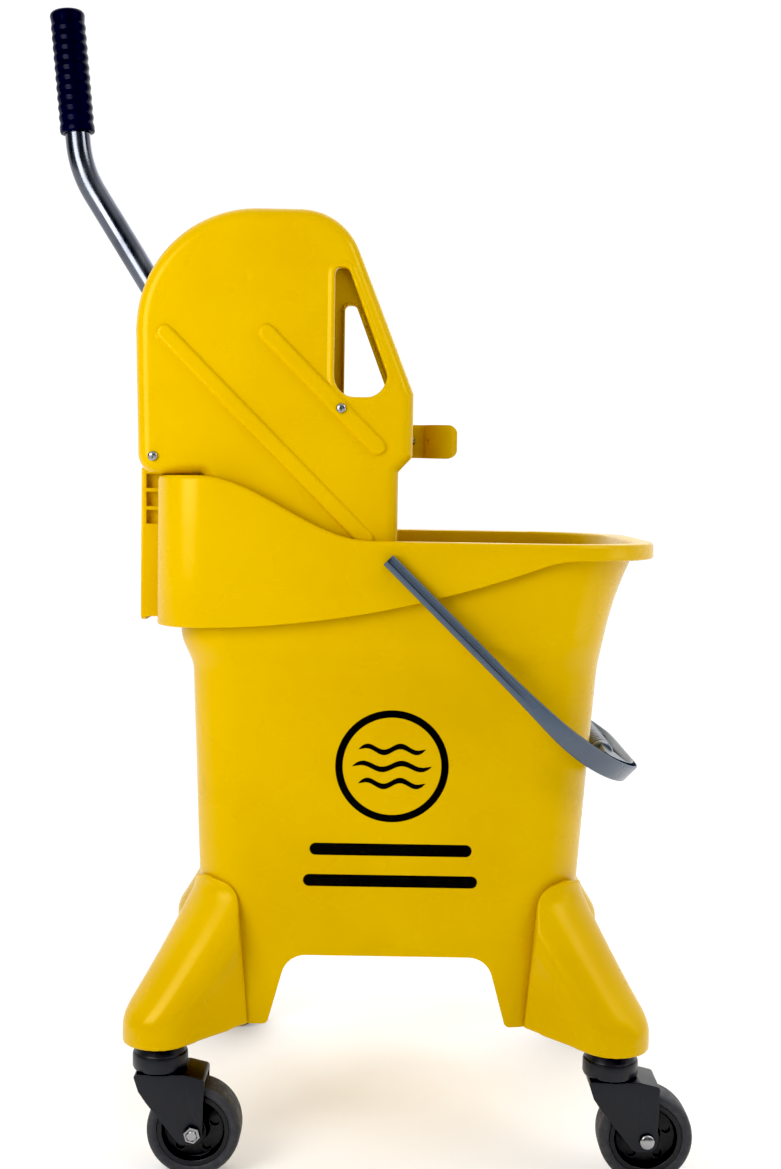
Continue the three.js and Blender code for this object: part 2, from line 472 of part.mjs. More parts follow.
function rackShape() {
  const pts = [[RACK_N + 8.2, RACK_T0], [RACK_N + 3.4, RACK_T0]];
  const first = Math.ceil((RACK_T0 + 5 - CONTACT_T) / PITCH - 0.5);
  for (let k = first; CONTACT_T + (k + 0.5) * PITCH < PLATE_T - 12; k++) {
    const c = CONTACT_T + (k + 0.5) * PITCH;
    pts.push([RACK_N + 3.4, c - TOOTH_HALF - 1.2], [RACK_N - 2.6, c - TOOTH_HALF + 0.95],
      [RACK_N - 2.6, c + TOOTH_HALF - 0.95], [RACK_N + 3.4, c + TOOTH_HALF + 1.2]);
  }
  return ntShape([...pts, [RACK_N + 3.4, RACK_T1], [RACK_N + 8.2, RACK_T1]]);
}
const rack = cut(slab(rackShape(), GEAR_Y0 - 1, GEAR_Y1 + 1));

for (const [side, sy] of [["near", -1], ["far", 1]]) {
  piece("cheek_" + side, "yellow", flipped(cheek, 1, sy));
  piece("cheek_screw_upper_" + side, "steel", flipped(
    screwHead(RIB_OUT + GAP, ROLLER_Y0, 4).translate([SCREW_A.x, 0, SCREW_A.y]), 1, sy));
  piece("cheek_screw_lower_" + side, "steel", flipped(
    screwHead(CHEEK_OUT + GAP, CHEEK_IN - 3, 4).translate([SCREW_B.x, 0, SCREW_B.y]), 1, sy));
  piece("rack_roller_" + side, "white", flipped(roller, 1, sy));
  piece("sector_gear_" + side, "darkgrey", flipped(sector, 1, sy));
  piece("rack_" + side, "darkgrey", flipped(rack, 1, sy));
}

// ---- wringer: press plate ----
let plate = slab(ntShape([[PLATE_N0, PLATE_T - 4], [PLATE_N1, PLATE_T - 4], [PLATE_N1, PLATE_T + 4],
  [PLATE_N0, PLATE_T + 4]]), -129, 129);
for (const s of [-1, 1]) {
  const [a, b] = s > 0 ? [127, CHEEK_OUT - 1] : [-CHEEK_OUT + 1, -127];
  plate = join(plate, rod(3.6, a, b, Y, ntPoint(350.5, PLATE_T), 12));
  plate = join(plate, slab(ntShape([[PLATE_N1 - 1, PLATE_T - 4], [RACK_N + 2, PLATE_T - 4],
    [RACK_N + 2, PLATE_T + GAP], [RACK_N + 8.2, PLATE_T + GAP], [RACK_N + 8.2, PLATE_T + 8],
    [PLATE_N1 - 1, PLATE_T + 4]]), s > 0 ? 112 : -129, s > 0 ? 129 : -112));
}
for (let i = -3; i <= 3; i++)
  plate = join(plate, slab(ntShape([[PLATE_N0 + 6, PLATE_T - 12], [PLATE_N1 - 10, PLATE_T - 12],
    [PLATE_N1 - 4, PLATE_T - 3.5], [PLATE_N0 + 1, PLATE_T - 3.5]]), i * 30 - 1.5, i * 30 + 1.5));
piece("press_plate", "yellow", plate);

// ---- wringer: basket ----
const basketLine = [nt(BASKET_N, -500), nt(BASKET_N, BASKET_T), nt(BASKET_T * -1 + 1, BASKET_T),
  new THREE.Vector2(0.8, 574), new THREE.Vector2(11.5, 588), new THREE.Vector2(11.5, 634)];
// A sheet of even thickness along a polyline, on its left.
function sheet(line, t) {
  const off = line.map((p, i) => {
    const a = line[Math.max(0, i - 1)], b = line[Math.min(line.length - 1, i + 1)];
    const u = p.clone().sub(i ? a : p).normalize();
    const v = b.clone().sub(i + 1 < line.length ? p : b).normalize();
    const d1 = i ? u : v, d2 = i + 1 < line.length ? v : u;
    const normal = new THREE.Vector2(-d1.y - d2.y, d1.x + d2.x).normalize();
    const k = 1 / Math.max(0.4, normal.dot(new THREE.Vector2(-d1.y, d1.x)));
    return p.clone().addScaledVector(normal, t * k);
  });
  return new THREE.Shape([...line, ...off.reverse()]);
}
let basket = slab(sheet(basketLine, BASKET_WALL), -CHEEK_IN + GAP, CHEEK_IN - GAP);
const drain = (point, axis) => rod(5.5, -9, 9, axis, point, 8);
for (let j = -3; j <= 3; j++) {
  for (let i = 0; i < 3; i++)
    basket = basket.subtract(drain(ntPoint(BASKET_N, -470 + 36 * i, j * 34), at(S, 0, S)));
  for (let i = 0; i < 2; i++)
    basket = basket.subtract(drain(ntPoint(BASKET_N + 24 + 28 * i, BASKET_T, j * 34), at(S, 0, -S)));
}
for (const y of [-CLIP_SCREW_Y, CLIP_SCREW_Y])
  basket = basket.subtract(rod(1.9, -2, 20, X, at(0, y, CLIP_Z), 8));
piece("basket", "yellow", basket);

// ---- wringer: rear cover, with its lever slot, and the apron that hooks over the rim ----
const coverOut = [[-203, 574], [-205.4, 600], ...dome(4, 86, 1.2, 9).reverse(),
  [DOME_X, 778.6], [-66, 778.6]];
const coverIn = [[-66, 775.6], [DOME_X, 775.6], ...dome(4, 86, 4.4, 9), [-202, 600], [-199.8, 574]];
const coverShape = new THREE.Shape([...coverOut, ...coverIn].map(([x, z]) => new THREE.Vector2(x, z)));
let cover = slab(coverShape, -CHEEK_IN + GAP, CHEEK_IN - GAP);
cover = cut(cover, box(-230, -50, -18, 18, 670, 800));
piece("rear_cover", "yellow", cover);

const APRON_Y = 92;
let apron = join(box(-209.5, -205.5, -APRON_Y, APRON_Y, 447, 573.4),
  box(-207, -170, -APRON_Y, APRON_Y, 568.4, 573.4),
  box(-173, -170, -APRON_Y, APRON_Y, 549, 573.4),
  box(-207, -192.6, -APRON_Y, APRON_Y, 522, 527),
  box(-207, -194, -APRON_Y, APRON_Y, 538.5, 541.5),
  box(-207, -194, -APRON_Y, APRON_Y, 553.5, 556.5));
for (const y of [-APRON_Y, -APRON_Y / 2, 0, APRON_Y / 2, APRON_Y])
  apron = join(apron, box(-207, -192.6, Math.max(-APRON_Y, y - 2), Math.min(APRON_Y, y + 2), 447, 524));
for (const y of [-82, 82]) apron = join(apron, box(-207, -192.6, y - 2, y + 2, 523, 569));
piece("rear_apron", "yellow", apron);

// ---- wringer: mop handle clip ----
const clipArc = [];
for (const [r, from, to] of [[CLIP_OUT, CLIP_OPEN, 360 - CLIP_OPEN], [CLIP_IN, 360 - CLIP_OPEN, CLIP_OPEN]])
  for (let i = 0; i <= 14; i++) {
    const a = deg(from + ((to - from) * i) / 14);
    clipArc.push(new THREE.Vector2(CLIP_X + r * Math.cos(a), r * Math.sin(a)));
  }
const clipTop = CLIP_Z + CLIP_HALF, clipFoot = CLIP_Z - CLIP_HALF;
const clipRing = solid(new THREE.ExtrudeGeometry(new THREE.Shape(clipArc),
  { depth: 2 * CLIP_HALF, bevelEnabled: false }).translate(0, 0, clipFoot));
const clipTip = slab(outline([[0, clipFoot], [CLIP_X + 13.1, clipFoot, 8], [CLIP_X + 13.1, clipTop, 8],
  [0, clipTop]], 4), -30, 30);
let clip = join(clipRing.intersect(clipTip), box(14, 27, -5, 5, clipFoot, clipTop),
  box(11.8, 15, -16, 16, clipFoot, clipTop));
for (const y of [-CLIP_SCREW_Y, CLIP_SCREW_Y])
  clip = clip.subtract(rod(1.9, -2, 30, X, at(0, y, CLIP_Z), 8));
piece("mop_clip", "yellow", clip);
for (const [name, y] of [["near", -CLIP_SCREW_Y], ["far", CLIP_SCREW_Y]])
  piece("clip_screw_" + name, "steel", turned([[0, 4], [1.6, 4], [1.6, 15.3], [3.2, 15.3], [3.2, 16.6],
    [1.8, 17.6], [0, 17.6]], X, at(0, y, CLIP_Z), 8));

// ---- lever ----
piece("lever_axle", "steel",
  rod(LEVER_AXLE_R, -CHEEK_OUT + 2.2, CHEEK_OUT - 2.2, Y, at(PIVOT_X, 0, PIVOT_Z), 20));
const leverDir = at(Math.cos(deg(LEVER_ANGLE)), 0, Math.sin(deg(LEVER_ANGLE)));
const topDir = at(Math.cos(deg(LEVER_TOP_ANGLE)), 0, Math.sin(deg(LEVER_TOP_ANGLE)));
const pivot = at(PIVOT_X, 0, PIVOT_Z);
const corner = pivot.clone().addScaledVector(leverDir, LEVER_RUN);
const bendReach = BEND_R * Math.tan(deg((LEVER_ANGLE - LEVER_TOP_ANGLE) / 2));
const topReach = (LEVER_TOP_Z - corner.z) / topDir.z;
const TUBE_FOOT = 17;
function leverLine() {
  const list = [[pivot.clone().addScaledVector(leverDir, TUBE_FOOT), leverDir]];
  const bend0 = corner.clone().addScaledVector(leverDir, -bendReach);
  const side = at(-leverDir.z, 0, leverDir.x); // towards the outside of the bend
  const centre = bend0.clone().addScaledVector(side, -BEND_R);
  for (let i = 0; i <= 4; i++) {
    const a = deg(LEVER_ANGLE - ((LEVER_ANGLE - LEVER_TOP_ANGLE) * i) / 4);
    list.push([centre.clone().add(at(-Math.sin(a), 0, Math.cos(a)).multiplyScalar(BEND_R)),
      at(Math.cos(a), 0, Math.sin(a))]);
  }
  list.push([corner.clone().addScaledVector(topDir, topReach - 6), topDir]);
  return list;
}
const ringAt = ([p, d], r, sides) => Array.from({ length: sides }, (_, i) => {
  const a = (2 * Math.PI * i) / sides;
  const side = at(-d.z, 0, d.x);
  return p.clone().addScaledVector(Y, r * Math.cos(a)).addScaledVector(side, r * Math.sin(a));
});
const line = leverLine();
const stretch = line.map(([p, d], i) =>
  [p.clone().addScaledVector(d, i === 0 ? -1 : i === line.length - 1 ? 1 : 0), d]);
let tube = cut(skin(line.map((s) => ringAt(s, TUBE_R, 14))),
  skin(stretch.map((s) => ringAt(s, TUBE_R - 1.8, 10))));
const boltSpots = [30, 52];
for (const s of boltSpots)
  tube = tube.subtract(rod(3 + GAP, -30, 30, Y, pivot.clone().addScaledVector(leverDir, s), 10));
piece("lever_tube", "steel", tube);

let socket = join(rod(16, -24, 24, Y, pivot, 20), rod(15, 4, 64, leverDir, pivot, 20));
socket = cut(socket, rod(LEVER_AXLE_R + GAP, -40, 40, Y, pivot, 20),
  rod(TUBE_R + GAP, TUBE_FOOT - GAP, 80, leverDir, pivot, 18));
for (const s of boltSpots)
  socket = socket.subtract(rod(3 + GAP, -30, 30, Y, pivot.clone().addScaledVector(leverDir, s), 10));
piece("lever_socket", "darkgrey", socket);
boltSpots.forEach((s, i) => {
  const p = pivot.clone().addScaledVector(leverDir, s);
  piece("lever_bolt_" + (i + 1), "steel",
    turned([[0, -16.8], [5, -16.8], [5, -15.3], [3, -15.3], [3, 17], [0, 17]], Y, p, 10));
});
const gripFoot = corner.clone().addScaledVector(topDir, topReach - GRIP_L);
const gripProfile = [[TUBE_R + GAP, 0], [GRIP_R - 0.5, 0], [GRIP_R, 2]];
for (let i = 0; i < 7; i++)
  gripProfile.push([GRIP_R, 10 + 12.5 * i], [GRIP_R - 1.2, 15 + 12.5 * i]);
gripProfile.push([GRIP_R, GRIP_L - 7], [GRIP_R - 2.2, GRIP_L - 2], [GRIP_R - 6, GRIP_L], [0, GRIP_L],
  [0, GRIP_L - 4.5], [TUBE_R + GAP, GRIP_L - 4.5], [TUBE_R + GAP, 0]);
piece("lever_grip", "navy", turned(gripProfile, topDir, gripFoot, 14));

// ---- return spring, coiled on the axle beside the socket ----
class Coil extends THREE.Curve {
  getPoint(u, target = new THREE.Vector3()) {
    const a = u * 4.25 * 2 * Math.PI + deg(40);
    return target.set(PIVOT_X + 12 * Math.cos(a), 30 + 18 * u, PIVOT_Z + 12 * Math.sin(a));
  }
}
const wire = new THREE.Shape(Array.from({ length: 5 }, (_, i) =>
  new THREE.Vector2(1.5 * Math.cos(deg(72 * i)), 1.5 * Math.sin(deg(72 * i)))));
piece("return_spring", "steel",
  solid(new THREE.ExtrudeGeometry(wire, { steps: 40, extrudePath: new Coil() })));

export default group;
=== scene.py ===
"""Looks for the mop bucket and its wringer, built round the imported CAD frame.

Shapes are worked out in millimetres about the bucket's own middle, then shifted
and scaled into the row frame by `row`.
"""

import math

import bmesh
import bpy
import numpy as np
from mathutils import Matrix, Vector
from mathutils.geometry import delaunay_2d_cdt


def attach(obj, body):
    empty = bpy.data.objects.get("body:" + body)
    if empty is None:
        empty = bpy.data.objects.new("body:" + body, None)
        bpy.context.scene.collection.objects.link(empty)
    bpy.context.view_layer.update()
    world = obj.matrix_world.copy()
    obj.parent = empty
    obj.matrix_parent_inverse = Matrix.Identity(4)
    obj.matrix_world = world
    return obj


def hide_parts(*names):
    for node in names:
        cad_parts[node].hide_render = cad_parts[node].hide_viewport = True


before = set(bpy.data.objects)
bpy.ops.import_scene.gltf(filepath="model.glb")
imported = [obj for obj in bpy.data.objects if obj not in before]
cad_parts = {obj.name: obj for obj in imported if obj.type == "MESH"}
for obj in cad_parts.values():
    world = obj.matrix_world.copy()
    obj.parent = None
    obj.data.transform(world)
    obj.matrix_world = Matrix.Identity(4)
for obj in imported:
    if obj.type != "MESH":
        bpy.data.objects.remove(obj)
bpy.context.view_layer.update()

# ---- sizes shared with the CAD, in millimetres ----
SHIFT_X, FLOOR_Z = 30.5, 10.4
RIM_Z, SADDLE_Z, SADDLE_X0, SADDLE_X1 = 518, 567.7, -155, -20
FOOT_Z, BELLY_Z, WALL = 118.6, 177, 3.5
BODY_FRONT, BODY_REAR, BODY_HALF = 155.8, -156.4, 131.4
SKIRT_REAR, SKIRT_FRONT, SKIRT_HALF = -192, 220, 154
SKIRT_LOW_Z, SKIRT_LOW_X, SKIRT_BAND_Z = 446.6, -165, 504.3
ARCH_X, ARCH_TOP_X, ARCH_R = 98, 82, 20
ARCH_Y, ARCH_TOP_Y, ARCH_END_R = 78, 65, 14
LEG_TOP_Z, LEG_NECK_Z, LEG_TOE_Z, LEG_BASE_Z = 241, 228, 137.6, 116
LEG_OUT_X, LEG_OUT_Y, LEG_SEAM_X, LEG_SEAM_Y, LEG_WALL, LEG_PROUD = 211, 190, 113.4, 86, 4, 2
SWIVEL_X, SWIVEL_Y, TRAIL = 180, 165, 28
WHEEL_R, WHEEL_W, TYRE_T, AXLE_R = 37.5, 30, 8.5, 4
AXLE_Z = FLOOR_Z + WHEEL_R
CUP_R, CUP_Z, FORK_T, FORK_IN = 22, 95.6, 2.5, 16.6
CHEEK_IN, CHEEK_OUT, RIB_RISE, CHEEK_CURL = 133.5, 138, 3.0, 11
CHEEK_REAR, CHEEK_FRONT, CHEEK_NOTCH = -208.7, 13.8, 2.6
DOME_X, DOME_Z, DOME_R = -112, 683.5, 96.5
PIVOT = Vector((-150, 0, 628))
PITCH_R, GEAR_TEETH = 55, 33
TUBE_R, LEVER_ANGLE, LEVER_RUN, LEVER_TOP_ANGLE = 11, 122.2, 241.9, 95.3
BEND_R, GRIP_R, GRIP_L, LEVER_TOP_Z = 100, 15, 104.5, 967.8
PLATE_T, PLATE_N0, PLATE_N1 = -509, 299, 384
BASKET_N, BASKET_T, BASKET_WALL = 294, -366, 3.5
CLIP_X, CLIP_IN, CLIP_OUT, CLIP_SCREW_Y = 41.5, 13.5, 17, 11
CLIP_Z, CLIP_HALF, CLIP_OPEN, CLIP_TIP = 600.5, 14.5, 40, 54.6
BAIL_X, BAIL_Z, BAIL_REST, BAIL_Y, BAIL_REACH = 0.8, 499, -44.5, 160, 267.5
BAIL_BOW_R, BAIL_W, BAIL_RISE = 100, 7, 15
APRON_Y = 92
SLOPE = math.sqrt(0.5)
AX, AY, AZ = Vector((1, 0, 0)), Vector((0, 1, 0)), Vector((0, 0, 1))
SIDES = {"near": -1, "far": 1}
ENDS = {"rear": -1, "front": 1}


# ---- materials ----
class Paint:
    """A node material built step by step; every texture is read in the piece's own space."""

    def __init__(self, name):
        self.mat = bpy.data.materials.new(name)
        self.mat.use_nodes = True
        self.nodes = self.mat.node_tree.nodes
        self.links = self.mat.node_tree.links
        self.shader = self.nodes["Principled BSDF"]
        self.coords = self.nodes.new("ShaderNodeTexCoord").outputs["Object"]

    def link(self, a, b):
        self.links.new(a, b)

    def noise(self, scale, detail=3.0, rough=0.5, stretch=None):
        node = self.nodes.new("ShaderNodeTexNoise")
        node.inputs["Scale"].default_value = scale
        node.inputs["Detail"].default_value = detail
        node.inputs["Roughness"].default_value = rough
        source = self.coords
        if stretch:
            mapping = self.nodes.new("ShaderNodeMapping")
            mapping.inputs["Scale"].default_value = stretch
            self.link(source, mapping.inputs["Vector"])
            source = mapping.outputs["Vector"]
        self.link(source, node.inputs["Vector"])
        return node.outputs["Fac"]

    def ramp(self, value, low, high, out_low=0.0, out_high=1.0):
        node = self.nodes.new("ShaderNodeMapRange")
        node.interpolation_type = "SMOOTHSTEP"
        for key, number in (("From Min", low), ("From Max", high), ("To Min", out_low), ("To Max", out_high)):
            node.inputs[key].default_value = number
        self.link(value, node.inputs["Value"])
        return node.outputs["Result"]

    def mix(self, factor, a, b):
        node = self.nodes.new("ShaderNodeMix")
        node.data_type = "RGBA"
        self.link(factor, node.inputs["Factor"])
        for socket, colour in ((node.inputs[6], a), (node.inputs[7], b)):
            if isinstance(colour, tuple):
                socket.default_value = (*colour, 1)
            else:
                self.link(colour, socket)
        return node.outputs[2]

    def bump(self, *heights):
        """Adds (height, strength, distance in metres) bumps one on another."""
        last = None
        for height, strength, distance in heights:
            node = self.nodes.new("ShaderNodeBump")
            node.inputs["Strength"].default_value = strength
            node.inputs["Distance"].default_value = distance
            self.link(height, node.inputs["Height"])
            if last:
                self.link(last, node.inputs["Normal"])
            last = node.outputs["Normal"]
        self.link(last, self.shader.inputs["Normal"])

    def set(self, **values):
        for key, value in values.items():
            self.shader.inputs[key.replace("_", " ")].default_value = value

    def use(self, key, value):
        self.link(value, self.shader.inputs[key])


def moulded(name, colour, shade, rough, grain=0.25, shine=0.3, tint=(1, 1, 1), glow=0.0):
    """Injection-moulded plastic: faint flow in the colour, an orange-peel skin and fine scuffs."""
    p = Paint(name)
    cloud = p.ramp(p.noise(9, 3), 0.35, 0.7)
    flow = p.ramp(p.noise(3.5, 2, stretch=(1, 1, 3)), 0.45, 0.75, 0, 0.5)
    tone = p.mix(cloud, colour, shade)
    dust = p.ramp(p.noise(420, 2, 0.7), 0.66, 0.8, 0, 0.35)
    p.use("Base Color", p.mix(dust, p.mix(flow, tone, colour), tuple(c * 0.82 + 0.02 for c in shade)))
    scuffs = p.ramp(p.noise(60, 5, 0.75, stretch=(1, 1, 9)), 0.55, 0.8, 0, 0.06)
    base = p.ramp(p.noise(14, 4), 0.3, 0.7, rough - 0.05, rough + 0.06)
    add = p.nodes.new("ShaderNodeMath")
    add.operation = "ADD"
    p.link(base, add.inputs[0])
    p.link(scuffs, add.inputs[1])
    p.use("Roughness", add.outputs["Value"])
    p.bump((p.noise(700, 2), grain, 0.0001), (p.noise(55, 2), 0.1, 0.0006))
    p.set(IOR=1.49, Specular_IOR_Level=shine, Specular_Tint=(*tint, 1))
    if glow:
        p.set(Subsurface_Weight=glow, Subsurface_Radius=(1.0, 0.45, 0.05), Subsurface_Scale=0.006)
    return p.mat


def metal(name, colour, rough, brushed):
    """Plated steel: drawn grain, smudges, and a duller tone in patches."""
    p = Paint(name)
    smudge = p.ramp(p.noise(35, 4, 0.6), 0.4, 0.75)
    p.use("Base Color", p.mix(smudge, colour, tuple(c * 0.72 for c in colour)))
    p.use("Roughness", p.ramp(p.noise(90, 5, 0.7, stretch=brushed), 0.3, 0.75, rough - 0.06, rough + 0.16))
    p.bump((p.noise(1100, 3, 0.6, stretch=brushed), 0.12, 0.00006))
    p.set(Metallic=1.0)
    return p.mat


def rubber(name, colour, dusty):
    """Tyre rubber: matt, speckled, with floor dust worked into it."""
    p = Paint(name)
    dust = p.ramp(p.noise(70, 5, 0.7), 0.48, 0.8, 0, 0.65)
    p.use("Base Color", p.mix(dust, colour, dusty))
    p.use("Roughness", p.ramp(p.noise(200, 3), 0.3, 0.7, 0.5, 0.72))
    p.bump((p.noise(1500, 2), 0.4, 0.00012), (p.noise(120, 3), 0.2, 0.0003))
    return p.mat


YELLOW = moulded("yellow_plastic", (0.66, 0.41, 0.0015), (0.62, 0.375, 0.001), 0.28, 0.12, 0.45,
                 (1.0, 0.8, 0.25), 0.03)
BLUEGREY = moulded("bluegrey_plastic", (0.062, 0.088, 0.13), (0.05, 0.074, 0.112), 0.26, 0.15, 0.7)
GRIPGREY = moulded("grip_grey", (0.52, 0.52, 0.5), (0.44, 0.44, 0.42), 0.35, 0.3)
NAVY = moulded("navy_grip", (0.0015, 0.002, 0.018), (0.001, 0.0015, 0.014), 0.36, 0.35, 0.12)
CASTER = moulded("caster_grey", (0.02, 0.021, 0.025), (0.015, 0.016, 0.02), 0.36, 0.25)
HUB = moulded("hub_black", (0.009, 0.009, 0.011), (0.006, 0.006, 0.008), 0.42, 0.3, 0.4)
GEAR = moulded("gear_grey", (0.055, 0.056, 0.06), (0.042, 0.043, 0.047), 0.4, 0.35)
TYRE = rubber("tyre_rubber", (0.028, 0.029, 0.034), (0.055, 0.055, 0.059))
CHROME = metal("chrome_tube", (0.16, 0.17, 0.2), 0.14, (1, 1, 0.06))
ZINC = metal("zinc_steel", (0.34, 0.34, 0.35), 0.2, (1, 0.1, 1))


def ink_paint():
    """Printed ink: flat black, a little worn through in specks."""
    p = Paint("print_ink")
    worn = p.ramp(p.noise(500, 4, 0.7), 0.62, 0.8, 0, 0.25)
    p.use("Base Color", p.mix(worn, (0.006, 0.006, 0.006), (0.12, 0.08, 0.01)))
    p.use("Roughness", p.ramp(p.noise(40, 3), 0.3, 0.7, 0.34, 0.5))
    p.bump((p.noise(900, 2), 0.15, 0.00005))
    p.set(Specular_IOR_Level=0.15)
    return p.mat


INK = ink_paint()


# ---- mesh helpers ----
def row(point):
    """A point in millimetres about the bucket's middle, in the row frame in metres."""
    return ((point[0] + SHIFT_X) * 0.001, point[1] * 0.001, (point[2] - FLOOR_Z) * 0.001)


def mesh_object(name, verts, faces):
    mesh = bpy.data.meshes.new(name)
    mesh.from_pydata([row(v) for v in verts], [], faces)
    mesh.validate()
    bm = bmesh.new()
    bm.from_mesh(mesh)
    bmesh.ops.remove_doubles(bm, verts=bm.verts, dist=1e-6)
    bmesh.ops.recalc_face_normals(bm, faces=bm.faces)
    bm.to_mesh(mesh)
    bm.free()
    obj = bpy.data.objects.new(name, mesh)
    bpy.context.scene.collection.objects.link(obj)
    return obj


def modifier(obj, kind, **settings):
    m = obj.modifiers.new(kind.lower(), kind)
    for key, value in settings.items():
        setattr(m, key, value)
    return m


def baked(obj):
    """The object with its modifiers worked into its mesh."""
    bpy.context.view_layer.update()
    ready = obj.evaluated_get(bpy.context.evaluated_depsgraph_get())
    mesh = bpy.data.meshes.new_from_object(ready)
    old = obj.data
    obj.modifiers.clear()
    obj.data = mesh
    if old.users == 0:
        bpy.data.meshes.remove(old)
    return obj


def combine(obj, others, operation):
    """Adds or takes away other objects, which are used up."""
    for other in others:
        modifier(obj, "BOOLEAN", operation=operation, solver="EXACT", object=other)
        baked(obj)
        bpy.data.objects.remove(other)
    return obj


def soften(obj, width, segments=2, angle=40):
    """Rounds an object's sharp edges by width millimetres."""
    modifier(obj, "BEVEL", width=width * 0.001, segments=segments, limit_method="ANGLE",
             angle_limit=math.radians(angle), harden_normals=False, use_clamp_overlap=True)
    return baked(obj)


def finish_piece(obj, body, material, stands_for=(), sharp=35):
    """Smooth shading with sharp creases kept, its material, and its place in the frame."""
    for polygon in obj.data.polygons:
        polygon.use_smooth = True
    obj.data.set_sharp_from_angle(angle=math.radians(sharp))
    obj.data.materials.clear()
    obj.data.materials.append(material)
    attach(obj, body)
    if stands_for:
        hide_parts(*stands_for)
    return obj


def smooth(v):
    v = min(1.0, max(0.0, v))
    return v * v * (3 - 2 * v)


def rounded(corners, steps=8):
    """A polygon of (a, b, radius) corners as a list of points, with its corners rounded."""
    points = []
    count = len(corners)
    for i, (a, b, *rest) in enumerate(corners):
        radius = rest[0] if rest else 0
        here = Vector((a, b))
        if not radius:
            points.append(here)
            continue
        back = (Vector(corners[i - 1][:2]) - here).normalized()
        on = (Vector(corners[(i + 1) % count][:2]) - here).normalized()
        half = back.angle(on) / 2
        centre = here + (back + on).normalized() * (radius / math.sin(half))
        start = here + back * (radius / math.tan(half)) - centre
        end = here + on * (radius / math.tan(half)) - centre
        turn = math.atan2(start.x * end.y - start.y * end.x, start.dot(end))
        for k in range(steps + 1):
            points.append(centre + Matrix.Rotation(turn * k / steps, 2) @ start)
    return points


def prism(name, points, low, high, place=lambda p, h: (p[0], h, p[1])):
    """A polygon pulled from low to high; place says where a polygon point at a height is."""
    n = len(points)
    verts = [place(p, h) for h in (low, high) for p in points]
    faces = [tuple(range(n)), tuple(range(2 * n - 1, n - 1, -1))]
    faces += [(i, i + n, (i + 1) % n + n, (i + 1) % n) for i in range(n)]
    return mesh_object(name, verts, faces)


def skin(name, rings, closed=False):
    """Rings of points joined one to the next, with both ends capped, or the last joined to the first."""
    n = len(rings[0])
    verts = [p for ring in rings for p in ring]
    spans = len(rings) if closed else len(rings) - 1
    faces = []
    for k in range(spans):
        a, b = k * n, ((k + 1) % len(rings)) * n
        faces += [(a + i, a + (i + 1) % n, b + (i + 1) % n, b + i) for i in range(n)]
    if not closed:
        faces += [tuple(range(n - 1, -1, -1)), tuple(range((len(rings) - 1) * n, len(rings) * n))]
    return mesh_object(name, verts, faces)


def block(name, x0, x1, y0, y1, z0, z1):
    return prism(name, [(x0, z0), (x1, z0), (x1, z1), (x0, z1)], y0, y1)


def turned(name, profile, axis, at, sides=48):
    """A profile of (radius, height) turned about an axis through a point."""
    axis = axis.normalized()
    side = axis.orthogonal().normalized()
    other = axis.cross(side)
    rings = []
    for radius, height in profile:
        ring = []
        for i in range(sides):
            a = 2 * math.pi * i / sides
            spoke = side * math.cos(a) + other * math.sin(a)
            ring.append(at + axis * height + spoke * max(radius, 0.001))
        rings.append(ring)
    loop = profile[0] == profile[-1]
    return skin(name, rings[:-1] if loop else rings, closed=loop)


def rod(name, radius, low, high, axis, at, sides=32):
    return turned(name, [(radius, low), (radius, high)], axis, at, sides)


def eased(profile, radius, steps=3):
    """A turned profile with its corners rounded."""
    corners = [(r, h, 0 if i in (0, len(profile) - 1) else radius) for i, (r, h) in enumerate(profile)]
    points = rounded(corners, steps)
    ends = [tuple(profile[0]), tuple(profile[-1])]
    return [ends[0]] + [(p.x, p.y) for p in points[1:-1]] + [ends[1]]


def nt(n, t):
    """A point by its distance across the press slope and down it."""
    return Vector((SLOPE * (n + t), SLOPE * (n - t)))


def slope_point(n, t, y=0.0):
    p = nt(n, t)
    return Vector((p.x, y, p.y))


# ---- bucket ----
def rim_top(x):
    return SADDLE_Z - (SADDLE_Z - RIM_Z) * smooth((x - SADDLE_X0) / (SADDLE_X1 - SADDLE_X0))


def skirt_low(x):
    """The skirt's lower edge: a rising sweep, eased into the level band under the lip."""
    low = SKIRT_LOW_Z + 0.00065 * max(0, x - SKIRT_LOW_X) ** 2
    blend = 5.0
    gap = (low - SKIRT_BAND_Z) / blend
    if gap > 1:
        return SKIRT_BAND_Z
    if gap < -1:
        return low
    return SKIRT_BAND_Z - blend * (1 - gap) ** 2 / 4


def shoulder(z):
    return 8 * smooth((z - 408) / 32)


def body_plan(z, grow):
    """The wall at a height: rear and front, half width, and its rear and front corner radii."""
    half = BODY_HALF + 0.02 * (z - BELLY_Z) + shoulder(z) + grow
    level = min(z, RIM_Z)
    front = BODY_FRONT + 0.068 * (level - BELLY_Z) + 0.002 * max(0, level - 400) ** 2 + grow
    rear = BODY_REAR - 0.035 * (z - BELLY_Z) - shoulder(z) - grow
    return rear, front, half, max(4, 42 + grow), max(4, 55 + 22 * smooth((z - 400) / 118) + grow)


def skirt_plan(_, grow):
    """The skirt is the same at every height."""
    return SKIRT_REAR - grow, SKIRT_FRONT + grow, SKIRT_HALF + grow, 40 + grow, 95 + grow


CORNER_STEPS, LONG_STEPS, SHORT_STEPS = 14, 26, 10


